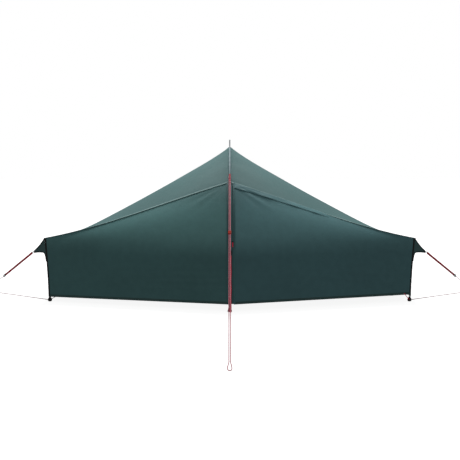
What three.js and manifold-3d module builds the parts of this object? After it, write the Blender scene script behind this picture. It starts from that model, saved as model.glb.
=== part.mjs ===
// A one-person hoop tent, pitched. Millimetres, +Z up, X along the tent, -Y the door side.
// The origin is on the ground under the middle of the hoop.
import * as THREE from 'three';
import { mergeVertices } from 'three/addons/utils/BufferGeometryUtils.js';
import Module from 'manifold-3d';

const wasm = await Module();
wasm.setup();

// Driving dimensions
const END_TOP_X = 1147; // half length of the fly at the tops of the corner struts
const END_FOOT_X = 1130; // half length at the ground
const END_HALF_WIDTH = 400;
const CORNER_Z = 396; // the front corners of the roof
const REAR_CORNER_Z = 358; // the rear ones are lower
const FLY_THICK = 2;
const HOOP_LEG = 227; // straight part of the hoop above the ground
const HOOP_RADIUS = 733; // centreline of the arched pole
const FLY_RADIUS = 740; // outside of the fly over the hoop
const SLEEVE_RADIUS = 8;
const SLEEVE_BORE = 6.9;
const POLE_RADIUS = 4.75;
const POLE_SECTIONS = 7;
const FERRULE_LENGTH = 46;
const FERRULE_WALL = 0.9;
const SEAM_Z = 745; // where the roof seam meets the hoop
const SEAM_BOW = 25; // how far the seam is drawn in towards the ridge, half way along
const SEAM_SAG = 20;
const RIDGE_END_Z = 338;
const RIDGE_SAG = 16;
const SHOULDER_Z = 330; // below this the side walls stand nearly upright
const HEM_HOOP_Z = 44;
const HEM_END_Z = 32;
const DOOR_HEM_LIFT = 14; // how much higher the door's hem sits at the corner strut
const GAP = 0.4; // between pieces that touch
const SEAM_GAP = 3.2; // the side walls' tops stop this far under the roof's edge
const PANEL_START_X = SLEEVE_RADIUS + GAP; // the panels start beside the sleeve

// Corner fittings
const STRUT_FOOT_X = 1122;
const STRUT_TOP_X = 1136;
const STRUT_SHORT = 16; // a strut ends this far under the roof's corner
const STRUT_Y = 386;
const STRUT_RADIUS = 4;
const FOOT_RADIUS = 13;
const FOOT_HEIGHT = 29;
const FIN_REACH = 105;
const FIN_TIP_Z = 306;
const FIN_LOW_Z = 312;
const FIN_TOP_DROP = 4; // the fin's top edge starts this far under the corner of the fly
const FIN_START = 3; // and its upright edge this far outside it
const FIN_TIP_RISE = 4; // the tip's blunt end, above and below its middle
const FIN_TIP_FALL = 5;
const FIN_THICK = 2;
const END_RING_X = 1645;
const STRAP_WIDTH = 8;
const STRAP_THICK = 1.6;
const FIN_STRAP_LENGTH = 335;
const CORD_RADIUS = 1.8;
const BUCKLE_LENGTH = 22;
const END_RING_RADIUS = 9;
const FIN_RING_RADIUS = 7;
const FIN_RING_WIRE = 1.4;
const FIN_RING_DROP = 7; // a hanging ring's top, below the fin's tip
const FIN_RING_BACK = 4; // and its centre, inside the fin's tip
const FIN_RING_OUT = 9; // a drawn-out ring's centre, beyond the fin's tip
const FIN_RING_LOW = 3; // and below it
const RING_TO_LINE = 2; // room between a ring's centre line and the line tied to it

// Door and zip
const DOOR_FROM = 0.0155; // the door starts beside the zip, as a share of the way to the strut
const DOOR_TO = 0.996;
const ZIP_FROM_X = 11.5;
const ZIP_TO_X = 22.5;
const ZIP_LOW_Z = 52;
const SLIDER_ANGLE = 13.5; // where the slider rests on the hoop's arc, in degrees above its centre
const SLIDER_LIFT = 3.4; // its middle, outside the fly
const PULL_LENGTH = 26;
const PULL_LIFT = 7.4;

// Guyline and foot straps
const GUY_ANGLE = 46.6; // where the guy rings sit on the hoop's arc
const GUY_RING_OUT = 18; // their centres, outside the hoop's centreline
const REAR_GUY_RING_OUT = 13; // the rear one lies against the fly
const GUY_RING_RADIUS = 6;
const GUY_RING_WIRE = 1.8;
const GUY_END_Y = -2020;
const RUNNER_SHARE = 0.36; // how far down the guyline its runner sits
const RUNNER_LENGTH = 26;
const STRAND_APART = 7; // between the two strands of the guyline
const LOOP_LENGTH = 40; // the loop at its bottom, for a peg
const LOOP_WIDTH = 14;
const FOOT_STRAP_TOP_Z = 328;
const FOOT_STRAP_HEIGHTS = [FOOT_STRAP_TOP_Z, 290, 255, HOOP_LEG, 120, 46];
const FOOT_STRAP_TAIL = [[3, 22], [9, 6], [20, 1.6]]; // further out at each height, down to the ground
const FOOT_STRAP_X = 1; // its edge nearest the middle of the hoop
const FOOT_BUCKLE_HALF = [6, 12]; // half its width and half its length
const FOOT_BUCKLE_SLOT = [4.2, 2.6]; // the same for each of its two slots
const FOOT_BUCKLE_SLOT_AT = 5.5; // from its middle to a slot's middle
const FOOT_BUCKLE_THICK = 3;
const FOOT_BUCKLE_RISE = 13.5; // its middle, above the strap's top
const TAB_TOP_Z = 1018; // the webbing that stands up from the top of the hoop
const TAB_WIDTH = 9;
const TAB_THICK = 2.4;

// Inner tent
const TUB_HEIGHT = 100;
const TUB_WALL = 2.5;
const INNER_HALF_LENGTH = 1075;
const INNER_FRONT_Y = -180;
const INNER_END_FRONT_Y = -165; // the front of its ceiling, at the ends
const INNER_REAR_Y = 340;
const INNER_RADIUS = 650;
const INNER_THICK = 3;
const INNER_ANGLES = [90, 75, 60, 45, 30, 15, 0]; // where its ceiling is drawn, over the hoop
const INNER_ENDS_Y = [INNER_END_FRONT_Y, -70, 25, 120, 220, 300, INNER_REAR_Y]; // and at the ends
const INNER_ENDS_Z = [305, 300, 298, 298, 301, 303, HOOP_LEG];
const DOORWAY = [[-430, 150], [430, 150], [430, 330], [200, 560], [-200, 560], [-430, 330]];
const DOORWAY_FROM_Y = -60; // the doorway is cut through whatever lies in front of this
const DOORWAY_DEPTH = 340;

// ---------------------------------------------------------------- materials

const paint = (color, roughness, metalness = 0) =>
  new THREE.MeshStandardMaterial({ color, roughness, metalness });

const MATERIALS = {
  roof: paint(0x4d6e6d, 0.6),
  wall: paint(0x2f4a4a, 0.65),
  sleeve: paint(0x6d7a7b, 0.6),
  pole: paint(0x9a9da0, 0.3, 0.9),
  rubber: paint(0x0c0d0e, 0.6),
  webbing: paint(0x7d0c1c, 0.7),
  cord: paint(0xcdb4b8, 0.6),
  runner: paint(0xc8321e, 0.45),
  plastic: paint(0x17191a, 0.45),
  zip: paint(0x10181a, 0.5),
  tab: paint(0x8c8c8c, 0.7),
  inner: paint(0xb9bfc2, 0.8),
  floor: paint(0x33383b, 0.6),
};

// ---------------------------------------------------------------- helpers

const tent = new THREE.Group();

function add(name, geometry, material) {
  const mesh = new THREE.Mesh(geometry, MATERIALS[material]);
  mesh.name = name;
  tent.add(mesh);
  return mesh;
}

const lerp = THREE.MathUtils.lerp;
const point = (x, y, z) => new THREE.Vector3(x, y, z);

// A closed thin panel from a grid of points on its outside: rows[i][j], thickened along -normal.
function panel(rows, thick, flip) {
  const m = rows.length;
  const n = rows[0].length;
  const outside = rows.flat();
  const inside = [];
  for (let i = 0; i < m; i += 1) {
    for (let j = 0; j < n; j += 1) {
      const along = rows[Math.min(i + 1, m - 1)][j].clone().sub(rows[Math.max(i - 1, 0)][j]);
      const across = rows[i][Math.min(j + 1, n - 1)].clone().sub(rows[i][Math.max(j - 1, 0)]);
      const normal = along.cross(across).normalize().multiplyScalar(flip ? -1 : 1);
      inside.push(rows[i][j].clone().addScaledVector(normal, -thick));
    }
  }
  const at = (i, j) => i * n + j;
  const size = m * n;
  const faces = [];
  const quad = (a, b, c, d) => faces.push(a, b, c, a, c, d);
  for (let i = 0; i < m - 1; i += 1) {
    for (let j = 0; j < n - 1; j += 1) {
      quad(at(i, j), at(i + 1, j), at(i + 1, j + 1), at(i, j + 1));
      quad(size + at(i, j), size + at(i, j + 1), size + at(i + 1, j + 1), size + at(i + 1, j));
    }
  }
  for (let i = 0; i < m - 1; i += 1) {
    quad(at(i, 0), size + at(i, 0), size + at(i + 1, 0), at(i + 1, 0));
    quad(at(i, n - 1), at(i + 1, n - 1), size + at(i + 1, n - 1), size + at(i, n - 1));
  }
  for (let j = 0; j < n - 1; j += 1) {
    quad(at(0, j), at(0, j + 1), size + at(0, j + 1), size + at(0, j));
    quad(at(m - 1, j), size + at(m - 1, j), size + at(m - 1, j + 1), at(m - 1, j + 1));
  }
  return solidFrom([...outside, ...inside], faces, flip);
}

function solidFrom(points, faces, flip) {
  const geometry = new THREE.BufferGeometry();
  const numbers = points.flatMap((p) => p.toArray());
  geometry.setAttribute('position', new THREE.Float32BufferAttribute(numbers, 3));
  geometry.setIndex(flip ? faces.slice().reverse() : faces);
  return geometry;
}

// A solid lofted through rings of points, closed with a flat cap at each end.
function loft(rings) {
  const n = rings[0].length;
  const faces = [];
  for (let i = 0; i < rings.length - 1; i += 1) {
    for (let j = 0; j < n; j += 1) {
      const k = (j + 1) % n;
      faces.push(i * n + j, i * n + k, (i + 1) * n + k, i * n + j, (i + 1) * n + k, (i + 1) * n + j);
    }
  }
  const flat = rings[0].map((p) => new THREE.Vector2(p.y, p.z));
  const last = (rings.length - 1) * n;
  for (const [a, b, c] of THREE.ShapeUtils.triangulateShape(flat, [])) {
    faces.push(a, c, b, last + a, last + b, last + c);
  }
  return solidFrom(rings.flat(), faces, false);
}

function toManifold(geometry) {
  const bare = geometry.clone();
  bare.deleteAttribute('normal');
  bare.deleteAttribute('uv');
  const merged = mergeVertices(bare, 1e-4);
  const vertProperties = new Float32Array(merged.attributes.position.array);
  const triVerts = new Uint32Array(merged.index.array);
  return new wasm.Manifold(new wasm.Mesh({ numProp: 3, vertProperties, triVerts }));
}

function fromManifold(solid) {
  const mesh = solid.getMesh();
  const geometry = new THREE.BufferGeometry();
  geometry.setAttribute('position', new THREE.BufferAttribute(mesh.vertProperties, 3));
  geometry.setIndex(new THREE.BufferAttribute(mesh.triVerts, 1));
  return geometry;
}

function disc(radius, sides, bore = 0) {
  const ring = (r) => Array.from({ length: sides }, (_, i) => {
    const angle = (i / sides) * 2 * Math.PI;
    return new THREE.Vector2(r * Math.cos(angle), r * Math.sin(angle));
  });
  const shape = new THREE.Shape(ring(radius));
  if (bore > 0) shape.holes.push(new THREE.Path(ring(bore)));
  return shape;
}

function rectangle(x0, x1, y0, y1, Kind) {
  return new Kind([[x0, y0], [x1, y0], [x1, y1], [x0, y1]].map(([x, y]) => new THREE.Vector2(x, y)));
}

const swept = (shape, path, steps) =>
  new THREE.ExtrudeGeometry(shape, { steps, bevelEnabled: false, extrudePath: path });

const rod = (a, b, radius, sides) => swept(disc(radius, sides), new THREE.LineCurve3(a, b), 1);

// A flat outline in the YZ plane, given thickness along X from x0 to x1.
function slab(outline, x0, x1) {
  const shape = new THREE.Shape(outline.map(([y, z]) => new THREE.Vector2(y, z)));
  const geometry = new THREE.ExtrudeGeometry(shape, { depth: x1 - x0, bevelEnabled: false });
  const turn = new THREE.Matrix4().makeBasis(point(0, 1, 0), point(0, 0, 1), point(1, 0, 0));
  return geometry.applyMatrix4(turn).translate(x0, 0, 0);
}

// Places a geometry made along its own +Z so that it runs from a towards b.
function aim(mesh, at, towards) {
  mesh.position.copy(at);
  mesh.quaternion.setFromUnitVectors(point(0, 0, 1), towards.clone().sub(at).normalize());
  return mesh;
}

// ---------------------------------------------------------------- shape of the fly

class Hoop extends THREE.Curve {
  constructor(radius, from, to) {
    super();
    this.radius = radius;
    this.from = from;
    this.to = to;
  }

  getPoint(t) {
    const arc = Math.PI * this.radius;
    const along = lerp(this.from, this.to, t);
    if (along < HOOP_LEG) return point(0, -this.radius, along);
    if (along > HOOP_LEG + arc) return point(0, this.radius, HOOP_LEG * 2 + arc - along);
    const angle = (along - HOOP_LEG) / this.radius;
    return point(0, -this.radius * Math.cos(angle), HOOP_LEG + this.radius * Math.sin(angle));
  }
}

const hoopLength = 2 * HOOP_LEG + Math.PI * HOOP_RADIUS;

// Half width of the fly over the hoop at height z.
const hoopY = (z, radius = FLY_RADIUS) =>
  z < HOOP_LEG ? radius : radius * Math.cos(Math.asin((z - HOOP_LEG) / radius));

const SEAM_ANGLE = Math.asin((SEAM_Z - HOOP_LEG) / FLY_RADIUS);

function seamY(u) {
  return lerp(hoopY(SEAM_Z), END_HALF_WIDTH, u) - SEAM_BOW * 4 * u * (1 - u);
}

const cornerZ = (sideY) => (sideY < 0 ? CORNER_Z : REAR_CORNER_Z);

// 6.75 makes the deepest sag of u * u * (1 - u) equal to 1.
function seamZ(u, sideY) {
  return lerp(SEAM_Z, cornerZ(sideY), u) - SEAM_SAG * 6.75 * u * u * (1 - u);
}

// Half length of the fly at height z.
const endX = (z) => lerp(END_FOOT_X, END_TOP_X, z / CORNER_Z);

// A point of a side wall, drawn at the front right.
// u runs from the hoop to the strut, v from the hem to the seam.
function wallPoint(u, v, lift, sideY) {
  const hemZ = lerp(HEM_HOOP_Z, HEM_END_Z, u) + lift * u;
  const topZ = seamZ(u, sideY) - SEAM_GAP;
  let y;
  let z;
  if (v <= 0.5) {
    z = lerp(hemZ, SHOULDER_Z, v * 2);
    y = lerp(hoopY(lerp(HEM_HOOP_Z, SHOULDER_Z, v * 2)), END_HALF_WIDTH, u);
  } else {
    const hoopZ = lerp(SHOULDER_Z, SEAM_Z, v * 2 - 1);
    const share = (hoopY(SHOULDER_Z) - hoopY(hoopZ)) / (hoopY(SHOULDER_Z) - hoopY(SEAM_Z));
    const shoulderY = lerp(hoopY(SHOULDER_Z), END_HALF_WIDTH, u);
    z = lerp(SHOULDER_Z, topZ, v * 2 - 1);
    y = lerp(shoulderY, seamY(u), share);
  }
  return point(lerp(PANEL_START_X, endX(z), u), -y, z);
}

// A point of the roof: u from the hoop to the end, w from -1 at the front seam to 1 at the rear.
function roofPoint(u, w) {
  const angle = Math.PI / 2 + w * (Math.PI / 2 - SEAM_ANGLE);
  const hoopPointY = -FLY_RADIUS * Math.cos(angle);
  const hoopPointZ = HOOP_LEG + FLY_RADIUS * Math.sin(angle);
  const endZ = RIDGE_END_Z + (cornerZ(w) - RIDGE_END_Z) * w * w;
  const sag = lerp(RIDGE_SAG * 4 * u * (1 - u), SEAM_SAG * 6.75 * u * u * (1 - u), w * w);
  const bow = SEAM_BOW * 4 * u * (1 - u) * w * w * Math.sign(w);
  const z = lerp(hoopPointZ, endZ, u) - sag;
  const y = lerp(hoopPointY, END_HALF_WIDTH * w, u) - bow;
  return point(lerp(PANEL_START_X, END_TOP_X, u), y, z);
}

const grid = (m, n, f) =>
  Array.from({ length: m + 1 }, (_, i) => Array.from({ length: n + 1 }, (_, j) => f(i / m, j / n)));

// Turns the pattern for the front right of the tent into any of its four quarters.
const quarter = (p, sideX, sideY) => point(p.x * sideX, p.y * -sideY, p.z);

const SIDES = [['left', -1], ['right', 1]];
const FACES = [['front', -1], ['rear', 1]];

// ---------------------------------------------------------------- fly

function roof(side, sideX) {
  const rows = grid(10, 12, (u, w) => quarter(roofPoint(u, 2 * w - 1), sideX, -1));
  add(`roof_${side}`, panel(rows, FLY_THICK, sideX < 0), 'roof');
}

function wall(name, sideX, sideY, lift = 0, from = 0, to = 1) {
  const rows = grid(10, 8, (s, v) => quarter(wallPoint(lerp(from, to, s), v, lift, sideY), sideX, sideY));
  add(name, panel(rows, FLY_THICK, sideX * sideY > 0), 'wall');
}

function endWall(side, sideX) {
  const halfWidth = END_HALF_WIDTH - FLY_THICK - GAP;
  const rows = grid(6, 4, (s, v) => {
    const share = 2 * s - 1;
    const top = RIDGE_END_Z + (cornerZ(share) - RIDGE_END_Z) * share * share - 2 * FLY_THICK - GAP;
    const z = lerp(HEM_END_Z, top, v);
    return point(sideX * (endX(z) - GAP), halfWidth * share, z);
  });
  add(`end_wall_${side}`, panel(rows, FLY_THICK, sideX < 0), 'wall');
}

// ---------------------------------------------------------------- hoop and its sleeve

function hoop() {
  const low = 26;
  const sleevePath = new Hoop(HOOP_RADIUS, low + 6, hoopLength - low - 6);
  add('hoop_sleeve', swept(disc(SLEEVE_RADIUS, 10, SLEEVE_BORE), sleevePath, 44), 'sleeve');
  const pitch = (hoopLength - 2 * low) / POLE_SECTIONS;
  for (let i = 0; i < POLE_SECTIONS; i += 1) {
    const last = i === POLE_SECTIONS - 1;
    const from = low + i * pitch;
    const to = from + pitch - (last ? 0 : GAP);
    const tube = swept(disc(POLE_RADIUS, 10), new Hoop(HOOP_RADIUS, from, to), 8);
    const seat = new Hoop(HOOP_RADIUS, to - FERRULE_LENGTH, to);
    const ferrule = swept(disc(POLE_RADIUS + FERRULE_WALL, 10), seat, 2);
    const section = last ? tube : fromManifold(toManifold(tube).add(toManifold(ferrule)));
    add(`pole_section_${i + 1}`, section, 'pole');
  }
  for (const [face, sideY] of FACES) {
    const cup = new THREE.LatheGeometry([
      new THREE.Vector2(0, 0),
      new THREE.Vector2(12, 0),
      new THREE.Vector2(13, 4),
      new THREE.Vector2(9, 16),
      new THREE.Vector2(8, low - GAP),
      new THREE.Vector2(0, low - GAP),
    ], 12);
    const mesh = add(`hoop_foot_${face}`, cup.rotateX(Math.PI / 2), 'rubber');
    mesh.position.set(0, sideY * HOOP_RADIUS, 0);
  }
}

// ---------------------------------------------------------------- corners

function corner(side, sideX, face, sideY) {
  const name = `${face}_${side}`;
  const top = cornerZ(sideY);
  const onStrut = (z) => point(sideX * lerp(STRUT_FOOT_X, STRUT_TOP_X, z / CORNER_Z), sideY * STRUT_Y, z);
  const strut = rod(onStrut(FOOT_HEIGHT + GAP), onStrut(top - STRUT_SHORT), STRUT_RADIUS, 10);
  add(`corner_strut_${name}`, strut, 'pole');

  const foot = new THREE.LatheGeometry([
    new THREE.Vector2(0, 0),
    new THREE.Vector2(8, 0),
    new THREE.Vector2(FOOT_RADIUS - 1, 5),
    new THREE.Vector2(FOOT_RADIUS, 11),
    new THREE.Vector2(FOOT_RADIUS - 3, 19),
    new THREE.Vector2(6, FOOT_HEIGHT),
    new THREE.Vector2(0, FOOT_HEIGHT),
  ], 14);
  const footMesh = add(`strut_foot_${name}`, foot.rotateX(Math.PI / 2), 'rubber');
  footMesh.position.set(sideX * STRUT_FOOT_X, sideY * STRUT_Y, 0);

  const drop = CORNER_Z - top;
  const outline = [
    [FIN_START, CORNER_Z - FIN_TOP_DROP],
    [FIN_START, FIN_LOW_Z],
    [FIN_REACH, FIN_TIP_Z - FIN_TIP_FALL],
    [FIN_REACH, FIN_TIP_Z + FIN_TIP_RISE],
  ];
  const finMesh = add(`fin_${name}`, slab(outline, -FIN_THICK / 2, FIN_THICK / 2), 'wall');
  finMesh.position.set(sideX * END_TOP_X, sideY * END_HALF_WIDTH, -drop);
  finMesh.rotation.z = Math.atan2(-sideY * END_HALF_WIDTH, sideX * (END_RING_X - END_TOP_X)) - Math.PI / 2;
}

// Along the line from a fin to the end ring, d measured from the corner of the fly.
function finLine(sideX, sideY, d, z) {
  const run = Math.hypot(END_RING_X - END_TOP_X, END_HALF_WIDTH);
  const share = d / run;
  return point(sideX * lerp(END_TOP_X, END_RING_X, share), sideY * END_HALF_WIDTH * (1 - share), z);
}

const finTip = (sideX, sideY) => finLine(sideX, sideY, FIN_REACH + FIN_RING_OUT, FIN_TIP_Z - FIN_RING_LOW);
const endRing = (sideX) => point(sideX * END_RING_X, 0, 6);

// ---------------------------------------------------------------- lines and straps

const unitAxis = (mesh, axis) => {
  mesh.quaternion.setFromUnitVectors(point(0, 0, 1), axis.clone().normalize());
  return mesh;
};

// The front rings are drawn out along their straps. The rear ones hang, across their fins.
function finRing(side, sideX, face, sideY) {
  const name = `fin_ring_${face}_${side}`;
  const ring = add(name, new THREE.TorusGeometry(FIN_RING_RADIUS, FIN_RING_WIRE, 6, 14), 'pole');
  const tip = finLine(sideX, sideY, FIN_REACH, FIN_TIP_Z);
  const outward = endRing(sideX).sub(tip).setZ(0).normalize();
  if (face === 'front') {
    const along = endRing(sideX).sub(finTip(sideX, sideY)).normalize();
    ring.position.copy(finTip(sideX, sideY));
    unitAxis(ring, along.cross(outward.clone().cross(point(0, 0, 1))));
  } else {
    const hinge = FIN_TIP_Z - FIN_RING_DROP - CORNER_Z + REAR_CORNER_Z;
    ring.position.copy(tip.addScaledVector(outward, -FIN_RING_BACK).setZ(hinge - FIN_RING_RADIUS));
    unitAxis(ring, outward);
  }
}

function endLines(side, sideX) {
  const tip = finTip(sideX, -1);
  const ring = endRing(sideX);
  const along = ring.clone().sub(tip).normalize();
  const strapFrom = tip.clone().addScaledVector(along, FIN_RING_RADIUS + RING_TO_LINE);
  const strapTo = strapFrom.clone().addScaledVector(along, FIN_STRAP_LENGTH);
  const strap = new THREE.BoxGeometry(STRAP_WIDTH, STRAP_THICK, FIN_STRAP_LENGTH);
  aim(add(`fin_strap_${side}`, strap.translate(0, 0, FIN_STRAP_LENGTH / 2), 'webbing'), strapFrom, ring);

  const buckle = new THREE.BoxGeometry(13, 5, BUCKLE_LENGTH).translate(0, 0, BUCKLE_LENGTH / 2 + GAP);
  aim(add(`line_buckle_${side}`, buckle, 'plastic'), strapTo, ring);

  const lineFrom = strapTo.clone().addScaledVector(along, BUCKLE_LENGTH + 2 * GAP);
  const lineTo = ring.clone().addScaledVector(along, -END_RING_RADIUS - 6);
  add(`fin_line_${side}`, rod(lineFrom, lineTo, CORD_RADIUS, 8), 'cord');

  const foot = point(sideX * (STRUT_FOOT_X + FOOT_RADIUS + 1.5), -STRUT_Y + 2, 11);
  const footTo = point(sideX * (END_RING_X - END_RING_RADIUS - 4), -4, 2.4);
  add(`foot_line_${side}`, rod(foot, footTo, CORD_RADIUS, 8), 'cord');

  const ringMesh = add(`end_ring_${side}`, new THREE.TorusGeometry(END_RING_RADIUS, 2, 6, 16), 'pole');
  ringMesh.position.set(sideX * END_RING_X, 0, 2.1);
}

// A point outside the hoop: its angle on the arc in degrees, its distance from the centre of the arc.
function onArc(sideY, degrees, radius, x = 0) {
  const angle = THREE.MathUtils.degToRad(degrees);
  return point(x, sideY * radius * Math.cos(angle), HOOP_LEG + radius * Math.sin(angle));
}

function guyline() {
  const ringAt = onArc(-1, GUY_ANGLE, HOOP_RADIUS + GUY_RING_OUT);
  const end = point(0, GUY_END_Y, 3);
  const along = end.clone().sub(ringAt).normalize();
  const length = end.distanceTo(ringAt);
  const at = (x, d) => ringAt.clone().addScaledVector(along, d).setX(x);
  const start = GUY_RING_RADIUS + 3;
  const runnerStart = start + (length - start) * RUNNER_SHARE;

  const torus = new THREE.TorusGeometry(GUY_RING_RADIUS, GUY_RING_WIRE, 6, 14);
  const ring = add('guy_ring_front', torus, 'webbing');
  unitAxis(ring, along.clone().cross(point(1, 0, 0))).position.copy(ringAt);
  const rearRing = add('guy_ring_rear', torus.clone(), 'webbing');
  const rearAt = onArc(1, GUY_ANGLE, HOOP_RADIUS + REAR_GUY_RING_OUT);
  unitAxis(rearRing, rearAt.clone().sub(point(0, 0, HOOP_LEG))).position.copy(rearAt);

  const beside = STRAND_APART / 2;
  const wide = beside + 5;
  const outline = rectangle(-wide, wide, -4.5, 4.5, THREE.Shape);
  for (const x of [-beside, beside]) {
    const bore = disc(CORD_RADIUS + 0.6, 8).getPoints().map((p) => new THREE.Vector2(p.x + x, p.y));
    outline.holes.push(new THREE.Path(bore));
  }
  const runner = new THREE.ExtrudeGeometry(outline, { depth: RUNNER_LENGTH, bevelEnabled: false });
  const runnerMesh = add('guyline_runner', runner, 'runner');
  runnerMesh.position.copy(at(0, runnerStart));
  runnerMesh.quaternion.setFromRotationMatrix(new THREE.Matrix4().makeBasis(
    point(1, 0, 0),
    along.clone().cross(point(1, 0, 0)),
    along,
  ));

  // One cord, down from the ring, round its loop on the ground, and back up to the ring.
  const loopStart = length - LOOP_LENGTH;
  const half = LOOP_WIDTH / 2;
  const loop = new THREE.CatmullRomCurve3([
    at(beside, loopStart),
    at(half * 0.8, loopStart + 14),
    at(half, length - 9),
    at(half * 0.6, length - 3),
    at(0, length - 1),
    at(-half * 0.6, length - 3),
    at(-half, length - 9),
    at(-half * 0.8, loopStart + 14),
    at(-beside, loopStart),
  ]);
  const strands = [beside, -beside].map((x) => rod(at(x, start), at(x, loopStart + 2), CORD_RADIUS, 8));
  const looped = toManifold(swept(disc(CORD_RADIUS, 8), loop, 24));
  const whole = strands.reduce((all, strand) => all.add(toManifold(strand)), looped);
  add('guyline', fromManifold(whole), 'cord');
}

// The outline, in the YZ plane, of a strip of even thickness along a line of [y, z] points.
function ribbon(line, thick) {
  const offset = (sign) => line.map(([y, z], i) => {
    const [py, pz] = line[Math.max(i - 1, 0)];
    const [ny, nz] = line[Math.min(i + 1, line.length - 1)];
    const long = Math.hypot(ny - py, nz - pz);
    return [y + (sign * thick * (nz - pz)) / long / 2, z - (sign * thick * (ny - py)) / long / 2];
  });
  return [...offset(1), ...offset(-1).reverse()];
}

function footStrap(face, sideY) {
  const out = SLEEVE_RADIUS + GAP + STRAP_THICK / 2 + 0.3;
  const line = FOOT_STRAP_HEIGHTS.map((z) => [hoopY(z, HOOP_RADIUS + out), z]);
  line.push(...FOOT_STRAP_TAIL.map(([y, z]) => [HOOP_RADIUS + out + y, z]));
  const outline = ribbon(line, STRAP_THICK).map(([y, z]) => [sideY * y, Math.max(z, 0.4)]);
  add(`foot_strap_${face}`, slab(outline, FOOT_STRAP_X, FOOT_STRAP_X + STRAP_WIDTH), 'webbing');

  const [halfWidth, halfLength] = FOOT_BUCKLE_HALF;
  const [slotWidth, slotHeight] = FOOT_BUCKLE_SLOT;
  const frame = rectangle(-halfWidth, halfWidth, -halfLength, halfLength, THREE.Shape);
  for (const z of [-FOOT_BUCKLE_SLOT_AT, FOOT_BUCKLE_SLOT_AT]) {
    frame.holes.push(rectangle(-slotWidth, slotWidth, z - slotHeight, z + slotHeight, THREE.Path));
  }
  const buckle = new THREE.ExtrudeGeometry(frame, { depth: FOOT_BUCKLE_THICK, bevelEnabled: false });
  const lean = Math.asin((FOOT_STRAP_TOP_Z + FOOT_BUCKLE_RISE - HOOP_LEG) / HOOP_RADIUS);
  const mesh = add(`foot_buckle_${face}`, buckle.rotateX(Math.PI / 2), 'plastic');
  const seat = onArc(sideY, THREE.MathUtils.radToDeg(lean), HOOP_RADIUS + SLEEVE_RADIUS + 1.2);
  mesh.position.set(FOOT_STRAP_X + STRAP_WIDTH / 2, seat.y, seat.z);
  mesh.rotation.set(sideY * lean, 0, 0);
  if (sideY > 0) mesh.geometry.translate(0, FOOT_BUCKLE_THICK, 0);
}

function zip() {
  const line = [ZIP_LOW_Z, 140, HOOP_LEG].map((z) => [-FLY_RADIUS + 1.2, z]);
  const top = THREE.MathUtils.radToDeg(SEAM_ANGLE) - 1;
  for (let i = 1; i <= 14; i += 1) {
    const p = onArc(-1, (top * i) / 14, FLY_RADIUS - 1.2);
    line.push([p.y, p.z]);
  }
  add('zip_tape', slab(ribbon(line, 1.2), ZIP_FROM_X, ZIP_TO_X), 'zip');

  const middle = (ZIP_FROM_X + ZIP_TO_X) / 2;
  const turned = (geometry) => geometry.rotateX(-THREE.MathUtils.degToRad(SLIDER_ANGLE));
  const outside = (lift) => onArc(-1, SLIDER_ANGLE, FLY_RADIUS + lift, middle);
  const slider = turned(new THREE.BoxGeometry(8, 5, 15));
  add('zip_slider', slider, 'plastic').position.copy(outside(SLIDER_LIFT));
  const pull = new THREE.BoxGeometry(6, 1.6, PULL_LENGTH).translate(0, 0, -PULL_LENGTH / 2);
  add('zip_pull', turned(pull), 'webbing').position.copy(outside(PULL_LIFT));
}

function apexTab() {
  const low = HOOP_LEG + HOOP_RADIUS + SLEEVE_RADIUS + GAP;
  const tab = new THREE.BoxGeometry(TAB_WIDTH, TAB_THICK, TAB_TOP_Z - low);
  add('apex_tab', tab, 'tab').position.set(0, 0, (TAB_TOP_Z + low) / 2);
}

// ---------------------------------------------------------------- inner tent

function groundsheet() {
  const plan = (inset) => new THREE.Shape([
    new THREE.Vector2(-INNER_HALF_LENGTH + inset, INNER_FRONT_Y + inset),
    new THREE.Vector2(INNER_HALF_LENGTH - inset, INNER_FRONT_Y + inset),
    new THREE.Vector2(INNER_HALF_LENGTH - inset, INNER_REAR_Y - inset),
    new THREE.Vector2(0, INNER_RADIUS - inset),
    new THREE.Vector2(-INNER_HALF_LENGTH + inset, INNER_REAR_Y - inset),
  ]);
  const block = (inset, depth) => new THREE.ExtrudeGeometry(plan(inset), { depth, bevelEnabled: false });
  const hollow = toManifold(block(TUB_WALL, TUB_HEIGHT).translate(0, 0, TUB_WALL));
  add('groundsheet', fromManifold(toManifold(block(0, TUB_HEIGHT)).subtract(hollow)), 'floor');
}

// A cross-section of the inner tent, u from the hoop to the end, drawn in by inset.
function innerRing(x, u, inset, base) {
  const arc = INNER_ANGLES.map((a, i) => {
    const p = onArc(1, a, INNER_RADIUS - inset);
    const endY = THREE.MathUtils.clamp(INNER_ENDS_Y[i], INNER_END_FRONT_Y + inset, INNER_REAR_Y - inset);
    return point(x, lerp(p.y, endY, u), lerp(p.z, INNER_ENDS_Z[i] - inset, u));
  });
  arc[0].y += inset;
  return [
    point(x, lerp(INNER_RADIUS, INNER_REAR_Y, u) - inset, base),
    ...arc.reverse(),
    point(x, INNER_FRONT_Y + inset, base),
  ];
}

function innerCanopy() {
  const shares = [-1, -0.66, -0.33, 0, 0.33, 0.66, 1];
  const body = (inset, base) => loft(shares.map((share) => {
    const u = Math.abs(share);
    return innerRing(share * (INNER_HALF_LENGTH - inset), u, inset, base);
  }));
  const base = TUB_HEIGHT + GAP;
  const doorway = new THREE.Shape(DOORWAY.map(([x, z]) => new THREE.Vector2(x, z)));
  const cut = new THREE.ExtrudeGeometry(doorway, { depth: DOORWAY_DEPTH, bevelEnabled: false });
  const canopy = toManifold(body(0, base))
    .subtract(toManifold(body(INNER_THICK, base - 20)))
    .subtract(toManifold(cut.rotateX(Math.PI / 2).translate(0, DOORWAY_FROM_Y, 0)));
  add('inner_canopy', fromManifold(canopy), 'inner');
}

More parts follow.
